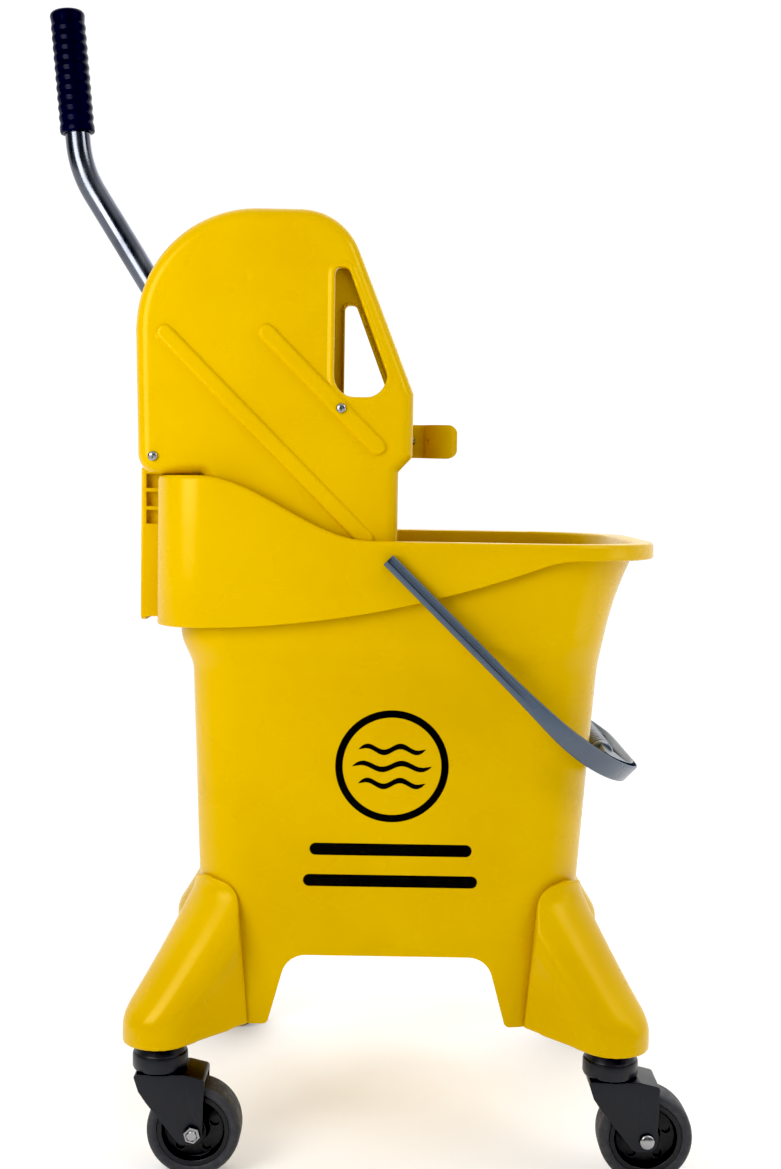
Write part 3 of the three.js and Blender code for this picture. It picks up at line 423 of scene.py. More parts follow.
def plan_point(plan, index):
    """The index-th point round a plan (rear, front, half width, rear radius, front radius)."""
    rear, front, half, rr, rf = plan
    corners = [(front - rf, -half + rf, rf, -90), (front - rf, half - rf, rf, 0),
               (rear + rr, half - rr, rr, 90), (rear + rr, -half + rr, rr, 180)]
    runs = [SHORT_STEPS, LONG_STEPS, SHORT_STEPS, LONG_STEPS]
    for k, (cx, cy, r, start) in enumerate(corners):
        if index < CORNER_STEPS:
            a = math.radians(start + 90 * index / CORNER_STEPS)
            return cx + r * math.cos(a), cy + r * math.sin(a)
        index -= CORNER_STEPS
        if index < runs[k]:
            a = math.radians(start + 90)
            x0, y0 = cx + r * math.cos(a), cy + r * math.sin(a)
            nx, ny, nr, _ = corners[(k + 1) % 4]
            x1, y1 = nx + nr * math.cos(a), ny + nr * math.sin(a)
            share = index / runs[k]
            return x0 + (x1 - x0) * share, y0 + (y1 - y0) * share
        index -= runs[k]
    raise IndexError


PLAN_COUNT = 4 * CORNER_STEPS + 2 * LONG_STEPS + 2 * SHORT_STEPS


def sweep_ring(plan, grow, height):
    """A ring whose height may depend on how far along the bucket each of its points is."""
    ring = []
    for i in range(PLAN_COUNT):
        z = 500.0
        for _ in range(4):
            x, y = plan_point(plan(z, grow), i)
            z = height(x)
        ring.append((x, y, z))
    return ring


def bucket_rings():
    rim = lambda drop: (lambda x: rim_top(x) - drop)
    low = lambda rise: (lambda x: skirt_low(x) + rise)
    flat = lambda z: (lambda x: z)
    rings = []
    for inset, rise in ((60, 0), (14, 0), (8, 0.8), (3.5, 3.2), (0.8, 8), (0, 14)):
        rings.append(sweep_ring(body_plan, -WALL - inset, flat(BELLY_Z + 5 + rise)))
    inner_levels = [240, 300, 360, 395] + list(range(404, 446, 5)) + list(range(450, 511, 7))
    rings += [sweep_ring(body_plan, -WALL, flat(z)) for z in inner_levels]
    for grow, drop in ((0, 3), (0.9, 0.9), (3, 0)):
        rings.append(sweep_ring(body_plan, -WALL + grow, rim(drop)))
    for grow, drop in ((-4, 0), (-2, 0.5), (-0.6, 1.8), (0, 4)):
        rings.append(sweep_ring(skirt_plan, grow, rim(drop)))
    rings += [sweep_ring(skirt_plan, 0, lambda x, s=s: (rim_top(x) - 4) * (1 - s) + (skirt_low(x) + 1.5) * s)
              for s in (0.33, 0.66)]
    for grow, rise in ((0, 1.5), (-0.5, 0.4), (-1.75, 0), (-3, 0.4), (-WALL, 1.5)):
        rings.append(sweep_ring(skirt_plan, grow, low(rise)))
    rings.append(sweep_ring(skirt_plan, -WALL, rim(WALL)))
    rings.append(sweep_ring(body_plan, 0, rim(WALL)))
    outer_levels = list(range(508, 446, -6)) + list(range(444, 400, -4)) + [392, 375, 345, 300, 250, 200, 150]
    rings += [sweep_ring(body_plan, 0, flat(z)) for z in outer_levels]
    for inset, rise in ((0, 3), (0, -2), (60, -2)):
        rings.append(sweep_ring(body_plan, -inset, flat(FOOT_Z + rise)))
    return rings


def build_bucket():
    bucket = skin("bucket_shell", bucket_rings())
    arch_side = rounded([(-240, FOOT_Z - 9), (240, FOOT_Z - 9), (240, FOOT_Z), (ARCH_X, FOOT_Z, 5),
                         (ARCH_TOP_X, BELLY_Z, ARCH_R), (-ARCH_TOP_X, BELLY_Z, ARCH_R), (-ARCH_X, FOOT_Z, 5),
                         (-240, FOOT_Z)])
    arch_end = rounded([(-ARCH_Y, FOOT_Z - 9), (ARCH_Y, FOOT_Z - 9),
                        (ARCH_TOP_Y, BELLY_Z - 3, ARCH_END_R), (-ARCH_TOP_Y, BELLY_Z - 3, ARCH_END_R)])
    tools = [prism("arch_a", arch_side, -200, 200),
             prism("arch_b", arch_end, -240, 240, lambda p, h: (h, p[0], p[1]))]
    for sx in (-1, 1):
        for sy in (-1, 1):
            tools.append(foot_pocket(sx, sy))
    for s in (-1, 1):
        tools.append(rod("bail_hole", 4.6, 148, 157, AY * s, Vector((BAIL_X, 0, BAIL_Z)), 32))
    combine(bucket, tools, "DIFFERENCE")
    soften(bucket, 1.6, 3, 45)
    finish_piece(bucket, "bucket_body", YELLOW, ["bucket"], 40)


def level_oblong(x0, x1, y0, y1, radii, z, steps=8):
    """A level rounded rectangle; radii go round from the corner at x1, y0."""
    ring = []
    corners = ((x1, y0, -1, 1, -90), (x1, y1, -1, -1, 0), (x0, y1, 1, -1, 90), (x0, y0, 1, 1, 180))
    for (cx, cy, dx, dy, start), r in zip(corners, radii):
        for i in range(steps + 1):
            a = math.radians(start + 90 * i / steps)
            ring.append((cx + dx * r + r * math.cos(a), cy + dy * r + r * math.sin(a), z))
    return ring


def foot_pocket(sx, sy):
    low = level_oblong(ARCH_X + 6, 148, ARCH_Y + 6, 122, (16, 16, 8, 8), FOOT_Z - 2)
    high = level_oblong(ARCH_X + 2, 150, ARCH_Y + 2, 124, (16, 16, 8, 8), BELLY_Z - 4)
    return skin("pocket", [[(x * sx, y * sy, z) for x, y, z in ring] for ring in (low, high)])


build_bucket()


# ---- printed panel on both sides: a plain ring with waves in it, and two bars ----
def wall_y(z, proud):
    return body_plan(z, 0)[2] + proud


def printed(name, side, outer, hole=None, lift=0.12):
    """Flat ink that follows the bucket's side wall."""
    s = SIDES[side]
    rings = [outer, hole] if hole else [outer]
    flat = [p for ring in rings for p in ring]
    edges, start = [], 0
    for ring in rings:
        edges += [(start + i, start + (i + 1) % len(ring)) for i in range(len(ring))]
        start += len(ring)
    points, _, faces, *_ = delaunay_2d_cdt([Vector(p) for p in flat], edges, [], 1, 1e-4)
    kept = []
    for face in faces:
        middle = sum((points[i] for i in face), Vector((0, 0))) / len(face)
        if not (hole and inside(middle, hole)) and inside(middle, outer):
            kept.append(face)
    n = len(points)
    verts = [(p.x, s * wall_y(p.y, h), p.y) for h in (lift, -0.3) for p in points]
    faces = list(kept) + [tuple(i + n for i in reversed(f)) for f in kept]
    count = {}
    for f in kept:
        for a, b in zip(f, f[1:] + f[:1]):
            count[(a, b)] = count.get((a, b), 0) + 1
    faces += [(b, a, a + n, b + n) for a, b in count if (b, a) not in count]
    return mesh_object(name, verts, faces)


def inside(p, ring):
    hit = False
    for a, b in zip(ring, ring[1:] + ring[:1]):
        if (a[1] > p[1]) != (b[1] > p[1]) and p[0] < (b[0] - a[0]) * (p[1] - a[1]) / (b[1] - a[1]) + a[0]:
            hit = not hit
    return hit


def wave(x0, x1, z, rise, thick, humps):
    """A wavy stroke with tapering ends."""
    top, under = [], []
    steps = 10 * humps
    for i in range(steps + 1):
        s = i / steps
        x, mid = x0 + (x1 - x0) * s, z + rise * math.sin(2 * math.pi * humps * s)
        half = thick / 2 * math.sqrt(max(0.02, 1 - (2 * s - 1) ** 4))
        top.append((x, mid + half))
        under.append((x, mid - half))
    return under + top[::-1]


PANEL_X, PANEL_Z, RING_R, RING_LINE = 1.5, 335, 46, 6


def circle(x, z, radius, steps=72):
    return [(x + radius * math.cos(2 * math.pi * i / steps), z + radius * math.sin(2 * math.pi * i / steps))
            for i in range(steps)]


def build_panel(side):
    marks = [printed(f"print_ring_{side}", side, circle(PANEL_X, PANEL_Z, RING_R),
                     circle(PANEL_X, PANEL_Z, RING_R - RING_LINE))]
    for k, (width, drop) in enumerate(((54, -14), (64, 0), (54, 14))):
        marks.append(printed(f"print_wave_{side}_{k}", side,
                             wave(PANEL_X - width / 2, PANEL_X + width / 2, PANEL_Z - drop, 2.6, 4.6, 2)))
    for k, (width, z) in enumerate(((132, 266), (142, 240))):
        bar = rounded([(PANEL_X - width / 2, z - 5, 4.9), (PANEL_X + width / 2, z - 5, 4.9),
                       (PANEL_X + width / 2, z + 5, 4.9), (PANEL_X - width / 2, z + 5, 4.9)])
        marks.append(printed(f"print_bar_{side}_{k}", side, [tuple(p) for p in bar]))
    for mark in marks:
        finish_piece(mark, "bucket_body", INK)


for side in SIDES:
    build_panel(side)


# ---- leg covers: a round boot over each caster, blending back to the bucket's two walls ----
def ease(v, b):
    """max(0, v), rounded off where v is within b of 0."""
    return 0 if v < -b else v if v > b else (v + b) ** 2 / (4 * b)


def leg_flare(z):
    """How far the boot stands out from the bucket, from 0 at its neck to 1 at its toe."""
    share = (LEG_NECK_Z - z) / (LEG_NECK_Z - LEG_TOE_Z)
    return ease(share, 0.07) - ease(share - 1, 0.1)


def touch(x, y, cx, cy, r, way):
    """The direction from a circle's middle to where a line from a point just touches it."""
    gap = max(r + 0.01, math.hypot(cx - x, cy - y))
    return math.atan2(cy - y, cx - x) + way * (math.asin(r / gap) + math.pi / 2)


def leg_ring(z, grow):
    _, wall_x, wall_y, _, _ = body_plan(z, LEG_PROUD + grow)
    out = leg_flare(z)
    r = 40 - 10 * out + grow
    cx = wall_x + (LEG_OUT_X + grow - wall_x) * out - r
    cy = wall_y + (LEG_OUT_Y + grow - wall_y) * out - r
    start = touch(wall_x, LEG_SEAM_Y - 2, cx, cy, r, -1)
    stop = touch(LEG_SEAM_X - 1, wall_y, cx, cy, r, 1)
    ring = [(90, 60, z), (wall_x, 60, z), (wall_x, LEG_SEAM_Y - 2, z)]
    ring += [(cx + r * math.cos(a), cy + r * math.sin(a), z) for a in np.linspace(start, stop, 25)]
    return ring + [(LEG_SEAM_X - 1, wall_y, z), (90, wall_y, z)]


def body_room():
    """The space that the bucket's own wall takes, with a hairline round it."""
    levels = [FOOT_Z - 0.3] + list(range(130, 266, 15))
    return skin("room", [sweep_ring(body_plan, 0.3, lambda x, z=z: z) for z in levels])


def build_leg(end, side):
    sx, sy = ENDS[end], SIDES[side]
    levels = [LEG_BASE_Z - 4] + list(range(116, 160, 3)) + list(range(163, 215, 6)) + list(range(216, 247, 3))
    cover = skin(f"leg_cover_{end}_{side}_shell", [leg_ring(z, 0) for z in levels])
    profile = rounded([(240, LEG_BASE_Z), (170, LEG_BASE_Z), (LEG_SEAM_X, LEG_BASE_Z + 3),
                       (LEG_SEAM_X + 9.4, 234.5, 18), (152, LEG_TOP_Z, 10), (240, LEG_TOP_Z)])
    across = rounded([(220, LEG_BASE_Z), (150, LEG_BASE_Z), (LEG_SEAM_Y, LEG_BASE_Z + 3),
                      (LEG_SEAM_Y + 9.4, 234.5, 18), (126, LEG_TOP_Z, 10), (220, LEG_TOP_Z)])
    combine(cover, [prism("a", profile, 20, 240),
                    prism("b", across, 20, 260, lambda p, h: (h, p[0], p[1]))], "INTERSECT")
    hollow_levels = (LEG_BASE_Z - 6, 128, 134, 140, 147, 160, 180, 200)
    hollow = skin("hollow", [leg_ring(z, -LEG_WALL) for z in hollow_levels])
    combine(hollow, [block("c", LEG_SEAM_X + 12, 300, LEG_SEAM_Y + 12, 300, 0, 200)], "INTERSECT")
    stem = Vector((SWIVEL_X, SWIVEL_Y, 0))
    combine(hollow, [rod("post", 13, LEG_BASE_Z - 12, 156, AZ, stem),
                     block("web", SWIVEL_X - 38, SWIVEL_X, SWIVEL_Y - 2, SWIVEL_Y + 2, LEG_BASE_Z - 12, 156),
                     block("web", SWIVEL_X - 2, SWIVEL_X + 2, SWIVEL_Y - 56, SWIVEL_Y, LEG_BASE_Z - 12, 156)],
            "DIFFERENCE")
    combine(cover, [hollow, rod("hole", 6.3, 90, 150, AZ, stem)], "DIFFERENCE")
    for v in cover.data.vertices:
        x = v.co.x * 1000 - SHIFT_X
        v.co.x = (x * sx + SHIFT_X) * 0.001
        v.co.y *= sy
    if sx * sy < 0:
        cover.data.flip_normals()
    combine(cover, [body_room()], "DIFFERENCE")
    modifier(cover, "REMESH", mode="VOXEL", voxel_size=0.0013, use_smooth_shade=True)
    modifier(cover, "SMOOTH", factor=0.5, iterations=7)
    modifier(cover, "DECIMATE", ratio=0.3)
    baked(cover)
    finish_piece(cover, "bucket_body", YELLOW, [f"leg_cover_{end}_{side}"], 60)


for end in ENDS:
    for side in SIDES:
        build_leg(end, side)


# ---- casters ----
def moved(obj, offset, mirror=1):
    for v in obj.data.vertices:
        v.co.y *= mirror
        v.co += Vector(offset) * 0.001
    if mirror < 0:
        obj.data.flip_normals()
    return obj


def tyre_profile():
    edge = WHEEL_W / 2
    half = [(WHEEL_R, 5), (WHEEL_R - 0.15, 9), (WHEEL_R - 0.6, 12), (WHEEL_R - 1.6, 13.6),
            (WHEEL_R - 3.4, edge), (WHEEL_R - 6, edge - 0.2), (WHEEL_R - TYRE_T, 13)]
    lower = [(r, -h) for r, h in reversed(half)]
    return lower + half + [lower[0]]


def hub_profile():
    rim = WHEEL_R - TYRE_T - 0.3
    half = [(AXLE_R + 0.2, 14.5), (10.4, 14.5), (11, 13.9), (11.8, 6.6), (12.6, 6), (rim - 6.2, 6),
            (rim - 5, 6.8), (rim - 4.2, 12.4), (rim - 3.6, 13), (rim, 13)]
    lower = [(r, -h) for r, h in half]
    return half + lower[::-1] + [half[0]]


def build_caster(end, side):
    sx, sy = ENDS[end], SIDES[side]
    tag = f"{end}_{side}"
    place = (sx * SWIVEL_X, sy * SWIVEL_Y, 0)
    head = -sx * sy
    axle = Vector((TRAIL, 0, AXLE_Z))
    cup_top = LEG_BASE_Z - 0.3
    cup_side = [(0, CUP_Z), (CUP_R - 2.4, CUP_Z), (CUP_R - 0.7, CUP_Z + 0.7), (CUP_R, CUP_Z + 2.4),
                (CUP_R, CUP_Z + 11.5), (CUP_R - 0.5, CUP_Z + 13), (CUP_R - 1.4, CUP_Z + 13.6),
                (CUP_R - 1.8, CUP_Z + 14.4), (CUP_R - 3, cup_top), (6, cup_top), (6, 146), (0, 146)]
    cup = turned(f"cup_{tag}", cup_side, AZ, Vector((0, 0, 0)), 64)
    finish_piece(moved(cup, place), "bucket_body", CASTER, [f"caster_cup_{tag}"])
    cheek = rounded([(-19.5, CUP_Z - 0.3, 2.5), (TRAIL - 6, CUP_Z - 0.3, 4), (TRAIL + 9.5, CUP_Z - 4, 3),
                     (TRAIL + 8, AXLE_Z - 9, 8), (TRAIL - 10, AXLE_Z - 9, 8), (-9, AXLE_Z + 24.5, 6),
                     (-15, AXLE_Z + 33.5, 4)], 8)
    fork = prism(f"fork_{tag}_plate", cheek, -FORK_IN - FORK_T, FORK_IN + FORK_T)
    inner = rounded([(-FORK_IN, 0), (FORK_IN, 0), (FORK_IN, CUP_Z - 8, 5), (-FORK_IN, CUP_Z - 8, 5)], 6)
    combine(fork, [prism("gap", inner, -60, 90, lambda p, h: (h, p[0], p[1])),
                   rod("hole", AXLE_R + 0.3, -40, 40, AY, axle)], "DIFFERENCE")
    soften(fork, 0.9, 3, 40)
    finish_piece(moved(fork, place), f"caster_{tag}", CASTER, [f"fork_{tag}"])
    tyre = turned(f"tyre_{tag}_ring", tyre_profile(), AY, axle, 96)
    finish_piece(moved(tyre, place), f"wheel_{tag}", TYRE, [f"tyre_{tag}"], 50)
    hub = turned(f"hub_{tag}", hub_profile(), AY, axle, 72)
    web_cuts = []
    for k in range(5):
        a = math.radians(72 * k + 18)
        spot = axle + Vector((math.cos(a), 0, math.sin(a))) * 17.6
        for s in (-1, 1):
            web_cuts.append(rod("dimple", 3.6, 4.4, 9, AY * s, spot, 20))
    combine(hub, web_cuts, "DIFFERENCE")
    finish_piece(moved(hub, place), f"wheel_{tag}", HUB, [f"wheel_hub_{tag}"])
    out = FORK_IN + FORK_T + 0.3
    turns = [math.radians(90 - 15 * i) for i in range(7)]
    dome = [(6 * math.cos(a), -out - 1 - 2.6 * math.sin(a)) for a in turns]
    shank = [(6, -out), (AXLE_R, -out), (AXLE_R, out + 3.6), (AXLE_R - 0.7, out + 4.3), (0, out + 4.3)]
    bolt = turned(f"bolt_{tag}", dome + shank, AY, axle, 40)
    finish_piece(moved(bolt, place, head), f"caster_{tag}", ZINC, [f"axle_bolt_{tag}"])
    bore = (AXLE_R + 0.3) / math.cos(math.pi / 6)
    nut = turned(f"nut_{tag}", [(bore, out), (6.7, out), (6.9, out + 0.3), (6.9, out + 2.8), (6.3, out + 3.4),
                                (bore, out + 3.4), (bore, out)], AY, axle, 6)
    finish_piece(moved(nut, place, head), f"caster_{tag}", ZINC, [f"axle_nut_{tag}"])


for end in ENDS:
    for side in SIDES:
        build_caster(end, side)


# ---- bail handle ----
BAIL_DIR = Vector((math.cos(math.radians(BAIL_REST)), 0, math.sin(math.radians(BAIL_REST))))
BAIL_UP = Vector((-BAIL_DIR.z, 0, BAIL_DIR.x))
GRIP_REACH, GRIP_RISE, GRIP_HALF = BAIL_REACH - 27, 11, 66


def bail_point(reach, y, height):
    return Vector((BAIL_X, y, BAIL_Z)) + BAIL_DIR * reach + BAIL_UP * height


def bail_path(bow_steps=30):
    """Stations (reach, y, outward reach, outward y, distance) from the near arm's end to the far one's."""
    mid, side, quarter = BAIL_REACH - BAIL_BOW_R, BAIL_Y - BAIL_BOW_R, math.pi / 2 * BAIL_BOW_R
    stations = [(r, -BAIL_Y, 0.0, -1.0, r) for r in (-7, -5.5, 0, 20, 45, 70, 90, 105, 120, 135, 150, 162)]
    for i in range(bow_steps + 1):
        a = math.radians(-90 + 90 * i / bow_steps)
        stations.append((mid + BAIL_BOW_R * math.cos(a), -side + BAIL_BOW_R * math.sin(a),
                         math.cos(a), math.sin(a), mid + quarter * i / bow_steps))
    return stations + [(r, -y, nr, -ny, s) for r, y, nr, ny, s in reversed(stations)]


def bail_half(distance):
    return 5.5 + 4.5 * smooth((distance - 120) / 110)


def bail_rise(reach):
    """How far the bow has risen out of the arms' plane at a reach."""
    return BAIL_RISE * min(1, max(0, (reach - 180) / (BAIL_REACH - 180))) ** 2


def bail_strip(name, stations, section):
    """A strip along the stations; section gives (outward, height) points for a distance."""
    return skin(name, [[bail_point(r + nr * w, y + ny * w, bail_rise(r) + h) for w, h in section(s)]
                       for r, y, nr, ny, s in stations])


def build_bail():
    """Two grooved arms and a channelled bow, with ribs in the channel and a web to each end of the grip."""
    path = bail_path()
    half_w = BAIL_W / 2

    def band(s):
        h = bail_half(s)
        low = -h + 2.4 * smooth((s - 120) / 110)
        corners = [(-half_w, low, 1.2), (half_w, low, 2.0), (half_w, h, 1.6), (-half_w, h, 1.2)]
        return [(p.x, p.y) for p in rounded(corners, 4)]

    def channel(s):
        depth = bail_half(s) - 16 * smooth((s - 126) / 40)
        return [(-1.7, depth), (1.7, depth), (1.9, 16), (-1.9, 16)]

    def groove(s):
        bed = half_w - 2.6 * (1 - smooth((s - 110) / 50))
        return [(bed, -0.9), (6, -1.7), (6, 2.7), (bed, 1.9)]

    bail = bail_strip("bail_band", path, band)
    tools = [bail_strip("channel", [p for p in path if p[4] > 128], channel)]
    for s in (-1, 1):
        arm = [p for p in path if -8 < p[4] < 165 and p[1] * s > 0]
        tools.append(bail_strip("groove", arm, groove))
    combine(bail, tools, "DIFFERENCE")
    extras = []
    for s in (-1, 1):
        extras.append(rod("pin", 4, 149.5, 158, AY * s, Vector((BAIL_X, 0, BAIL_Z))))
        web = [(BAIL_REACH - 2, 67.5, 15), (BAIL_REACH - 6, 88, 14), (BAIL_REACH - 16, 108, 11),
               (GRIP_REACH - 5, 100, 9), (GRIP_REACH - 7, 68.5, GRIP_RISE)]
        collar = [(0, GRIP_HALF + 0.8), (8.2, GRIP_HALF + 0.8), (9.6, GRIP_HALF + 2), (9.8, GRIP_HALF + 6),
                  (8.4, GRIP_HALF + 9.5), (5, GRIP_HALF + 11), (0, GRIP_HALF + 11)]
        extras.append(turned("collar", collar, AY * s, bail_point(GRIP_REACH, 0, GRIP_RISE), 32))
        layers = [[bail_point(r, s * y, rise + h) for r, y, rise in web] for h in (-5.5, 5.5)]
        extras.append(skin("web", layers))
        for k in range(7):
            a = math.radians(20 + 9.5 * k)
            lean = a + s * math.radians(38 if k % 2 else -30)
            centre = Vector((BAIL_REACH - BAIL_BOW_R + BAIL_BOW_R * math.cos(a),
                             s * (BAIL_Y - BAIL_BOW_R + BAIL_BOW_R * math.sin(a))))
            along = Vector((math.cos(lean), s * math.sin(lean)))
            cross = Vector((-along.y, along.x))
            rib = [centre + along * (2.6 * u) + cross * (0.55 * v)
                   for u, v in ((-1, -1), (1, -1), (1, 1), (-1, 1))]
            lift = bail_rise(centre.x)
            extras.append(prism("rib", rib, lift - 7, lift + 8.2, lambda p, h: bail_point(p[0], p[1], h)))
    extras.append(rod("core", 4, -GRIP_HALF - 14, GRIP_HALF + 14, AY, bail_point(GRIP_REACH, 0, GRIP_RISE)))
    combine(bail, extras, "UNION")
    soften(bail, 0.7, 2, 50)
    finish_piece(bail, "bail", BLUEGREY, ["bail_handle"], 40)


def build_bail_grip():
    ridges = 17
    profile = [(4.4, -GRIP_HALF), (7.6, -GRIP_HALF)]
    for i in range(ridges * 8 + 1):
        bump = abs(math.sin(math.pi * i / 8)) ** 0.5
        profile.append((7.9 + 2.1 * bump, -GRIP_HALF + 0.6 + (2 * GRIP_HALF - 1.2) * i / (ridges * 8)))
    profile += [(7.6, GRIP_HALF), (4.4, GRIP_HALF), (4.4, -GRIP_HALF)]
    grip = turned("bail_grip_sleeve", profile, AY, bail_point(GRIP_REACH, 0, GRIP_RISE), 40)
    finish_piece(grip, "bail", BLUEGREY, ["bail_grip"], 50)


build_bail()
build_bail_grip()


# ---- wringer cheeks: a moulded sheet with curled edges, raised ribs and a finger hole ----
def dome_points(start, stop, shrink=0.0, steps=26):
    return [(DOME_X + (DOME_R - shrink) * math.cos(math.radians(90 + a)),
             DOME_Z + (DOME_R - shrink) * math.sin(math.radians(90 + a)))
            for a in np.linspace(start, stop, steps)]


def cheek_outline():
    corners = [(-206, 568.3, 16), (-154, 568.3, 3), (*nt(289, -500), 6), (*nt(289, -360), 8),
               (*nt(363.8, -360), 6), (CHEEK_NOTCH, 573, 4), (CHEEK_FRONT, 585, 6), (CHEEK_FRONT, 635.7, 10),
               (-43.5, 780, 50), (DOME_X, 780)]
    corners += [(x, z) for x, z in dome_points(2, 88)]
    corners.append((CHEEK_REAR, DOME_Z))
    return dense([tuple(p) for p in rounded(corners, 10)], 2.5)


def hand_hole(grow):
    g = grow
    return dense([tuple(p) for p in rounded([
        (-50 - g, 733.5 + g, 5 + g), (-39.2 + g * 0.7, 733.5 + g, 5 + g), (-7 + g, 648.4, 10 + g),
        (-13 + g, 631.8 - g, 16 + g), (-50 - g, 631.8 - g, 17 + g)], 8)], 1.5)


def dense(ring, step):
    """The ring with points added so that none are further apart than step."""
    points = []
    for a, b in zip(ring, ring[1:] + ring[:1]):
        gap = math.dist(a, b)
        if gap < 1e-4:
            continue
        count = max(1, math.ceil(gap / step))
        points += [(a[0] + (b[0] - a[0]) * i / count, a[1] + (b[1] - a[1]) * i / count) for i in range(count)]
    return points


def distance_to(points, ring):
    """How far each point is from a ring's line."""
    p = np.array(points)[:, None, :]
    a = np.array(ring)[None, :, :]
    b = np.roll(np.array(ring), -1, axis=0)[None, :, :]
    d = b - a
    share = np.clip(((p - a) * d).sum(-1) / np.maximum((d * d).sum(-1), 1e-9), 0, 1)
    return np.linalg.norm(p - a - share[..., None] * d, axis=-1).min(1)


def distance_to_bar(points, start, end):
    p, a, b = np.array(points), np.array(start), np.array(end)
    d = b - a
    share = np.clip(((p - a) @ d) / (d @ d), 0, 1)
    return np.linalg.norm(p - a - share[:, None] * d, axis=1)


def step_down(distance, edge, soft):
    """1 inside edge, falling smoothly to 0 over soft."""
    v = np.clip((edge + soft / 2 - distance) / soft, 0, 1)
    return v * v * (3 - 2 * v)


def curl(distance, radius):
    """How far a rounded-over edge has dropped at a distance in from the outline."""
    v = np.clip(radius - distance, 0, radius)
    return radius - np.sqrt(np.maximum(radius * radius - v * v, 0))


RIBS = [((408.8, -555), (408.8, -429)), ((350.5, -611), (350.5, -383))]
SCREW_A, SCREW_B = nt(409.4, -471), Vector((-193.1, 582.4))


def cheek_sheet():
    """The cheek's flat points and triangles, its outline, its hole and its ribs' lines."""
    outer, hole = cheek_outline(), hand_hole(0)
    xs = np.arange(-212, 20, 3.0)
    zs = np.arange(450, 784, 3.0)
    grid = [(x + (1.5 if j % 2 else 0), z) for j, z in enumerate(zs) for x in xs]
    ribs = [(nt(*a), nt(*b)) for a, b in RIBS]
    for a, b in ribs:
        along = (b - a).normalized()
        across = Vector((-along.y, along.x))
        bands = (3, 4.6, 5.6, 6.4, 7.2, 8.2)  # close together where the rib's flank falls away
        count = int((b - a).length / 2.5)
        for off in [-r for r in reversed(bands)] + [0, *bands]:
            grid += [tuple(a + (b - a) * (i / count) + across * off) for i in range(count + 1)]
        for centre, way in ((a, -1), (b, 1)):
            for r in bands:
                for k in range(1, 12):
                    t = math.radians(-90 + 15 * k)
                    grid.append(tuple(centre + along * (way * r * math.cos(t)) + across * (r * math.sin(t))))
    points = np.array(grid)
    for g in (1, 2.5, 4, 5.5, 7):
        points = np.vstack([points, hand_hole(g)])
    keep = [inside(p, outer) and not inside(p, hole) for p in points]
    points = points[np.array(keep)]
    near = np.minimum(distance_to(points, outer), distance_to(points, hole))
    points = points[near > 0.7]
    shell = inset_rings(outer, (0.5, 1.2, 2.2, 3.5, 5, 6.5, 8, 9.5, 11))
    shell = [p for p in shell if inside(p, outer) and not inside(p, hole)]
    flat = [Vector(p) for group in (outer, hole, points, shell) for p in group]
    edges = [(i, (i + 1) % len(outer)) for i in range(len(outer))]
    edges += [(len(outer) + i, len(outer) + (i + 1) % len(hole)) for i in range(len(hole))]
    verts, _, faces, *_ = delaunay_2d_cdt(flat, edges, [], 1, 0.05)
    kept = []
    for f in faces:
        m = (verts[f[0]] + verts[f[1]] + verts[f[2]]) / 3
        if inside(m, outer) and not inside(m, hole):
            kept.append(tuple(f))
    return verts, kept, outer, hole, ribs


def inset_rings(ring, steps):
    """Points a little way in from the ring's line, on its inner side."""
    points = []
    n = len(ring)
    area = sum(a[0] * b[1] - b[0] * a[1] for a, b in zip(ring, ring[1:] + ring[:1]))
    turn = 1 if area > 0 else -1
    for i in range(n):
        a, b = Vector(ring[i - 1]), Vector(ring[(i + 1) % n])
        along = (b - a).normalized()
        inward = Vector((-along.y, along.x)) * turn
        for d in steps:
            points.append(tuple(Vector(ring[i]) + inward * d))
    gaps = distance_to(points, ring)
    wanted = np.tile(steps, n)
    return [p for p, gap, want in zip(points, gaps, wanted) if gap > want - 0.15]


def build_cheeks():
    verts, faces, outer, hole, ribs = cheek_sheet()
    flat = [(v.x, v.y) for v in verts]
    from_edge = distance_to(flat, outer)
    from_hole = distance_to(flat, hole)
    rise = np.zeros(len(flat))
    for a, b in ribs:
        rise = np.maximum(rise, RIB_RISE * step_down(distance_to_bar(flat, a, b), 6.2, 2.2))
    rise = np.maximum(rise, 1.2 * step_down(from_hole, 4.0, 2.4))
    gate = distance_to_bar(flat, (-120, 724), (-119, 725))
    dimple = 0.7 * step_down(gate, 2.0, 2.0)
    out = CHEEK_OUT + rise - dimple - curl(from_edge, CHEEK_CURL) - curl(from_hole, 1.6)
    inner = np.where(from_edge < 3.4, CHEEK_OUT - 9, CHEEK_OUT - 3.6 - curl(from_edge - 3.4, 4.6))
    inner = np.minimum(inner, out - 0.9)
    inner = np.where(from_hole < 2.5, np.minimum(inner, CHEEK_OUT - 7), inner)
    n = len(flat)
    used = {}
    for f in faces:
        for a, b in zip(f, f[1:] + f[:1]):
            used[(a, b)] = True
    rim = [(a, b) for a, b in used if (b, a) not in used]
    for side, s in SIDES.items():
        points = [(x, s * h, z) for heights in (out, inner) for (x, z), h in zip(flat, heights)]
        shape = [tuple(f) for f in faces] + [tuple(i + n for i in reversed(f)) for f in faces]
        shape += [(b, a, a + n, b + n) for a, b in rim]
        cheek = mesh_object(f"cheek_{side}_shell", points, shape)
        boss = turned("boss", [(8.3, 129), (13, 129), (13, CHEEK_OUT - 2), (8.3, CHEEK_OUT - 2), (8.3, 129)],
                      AY * s, Vector((PIVOT.x, 0, PIVOT.z)), 40)
        combine(cheek, [boss], "UNION")
        finish_piece(cheek, "wringer", YELLOW, [f"cheek_{side}"], 50)


build_cheeks()


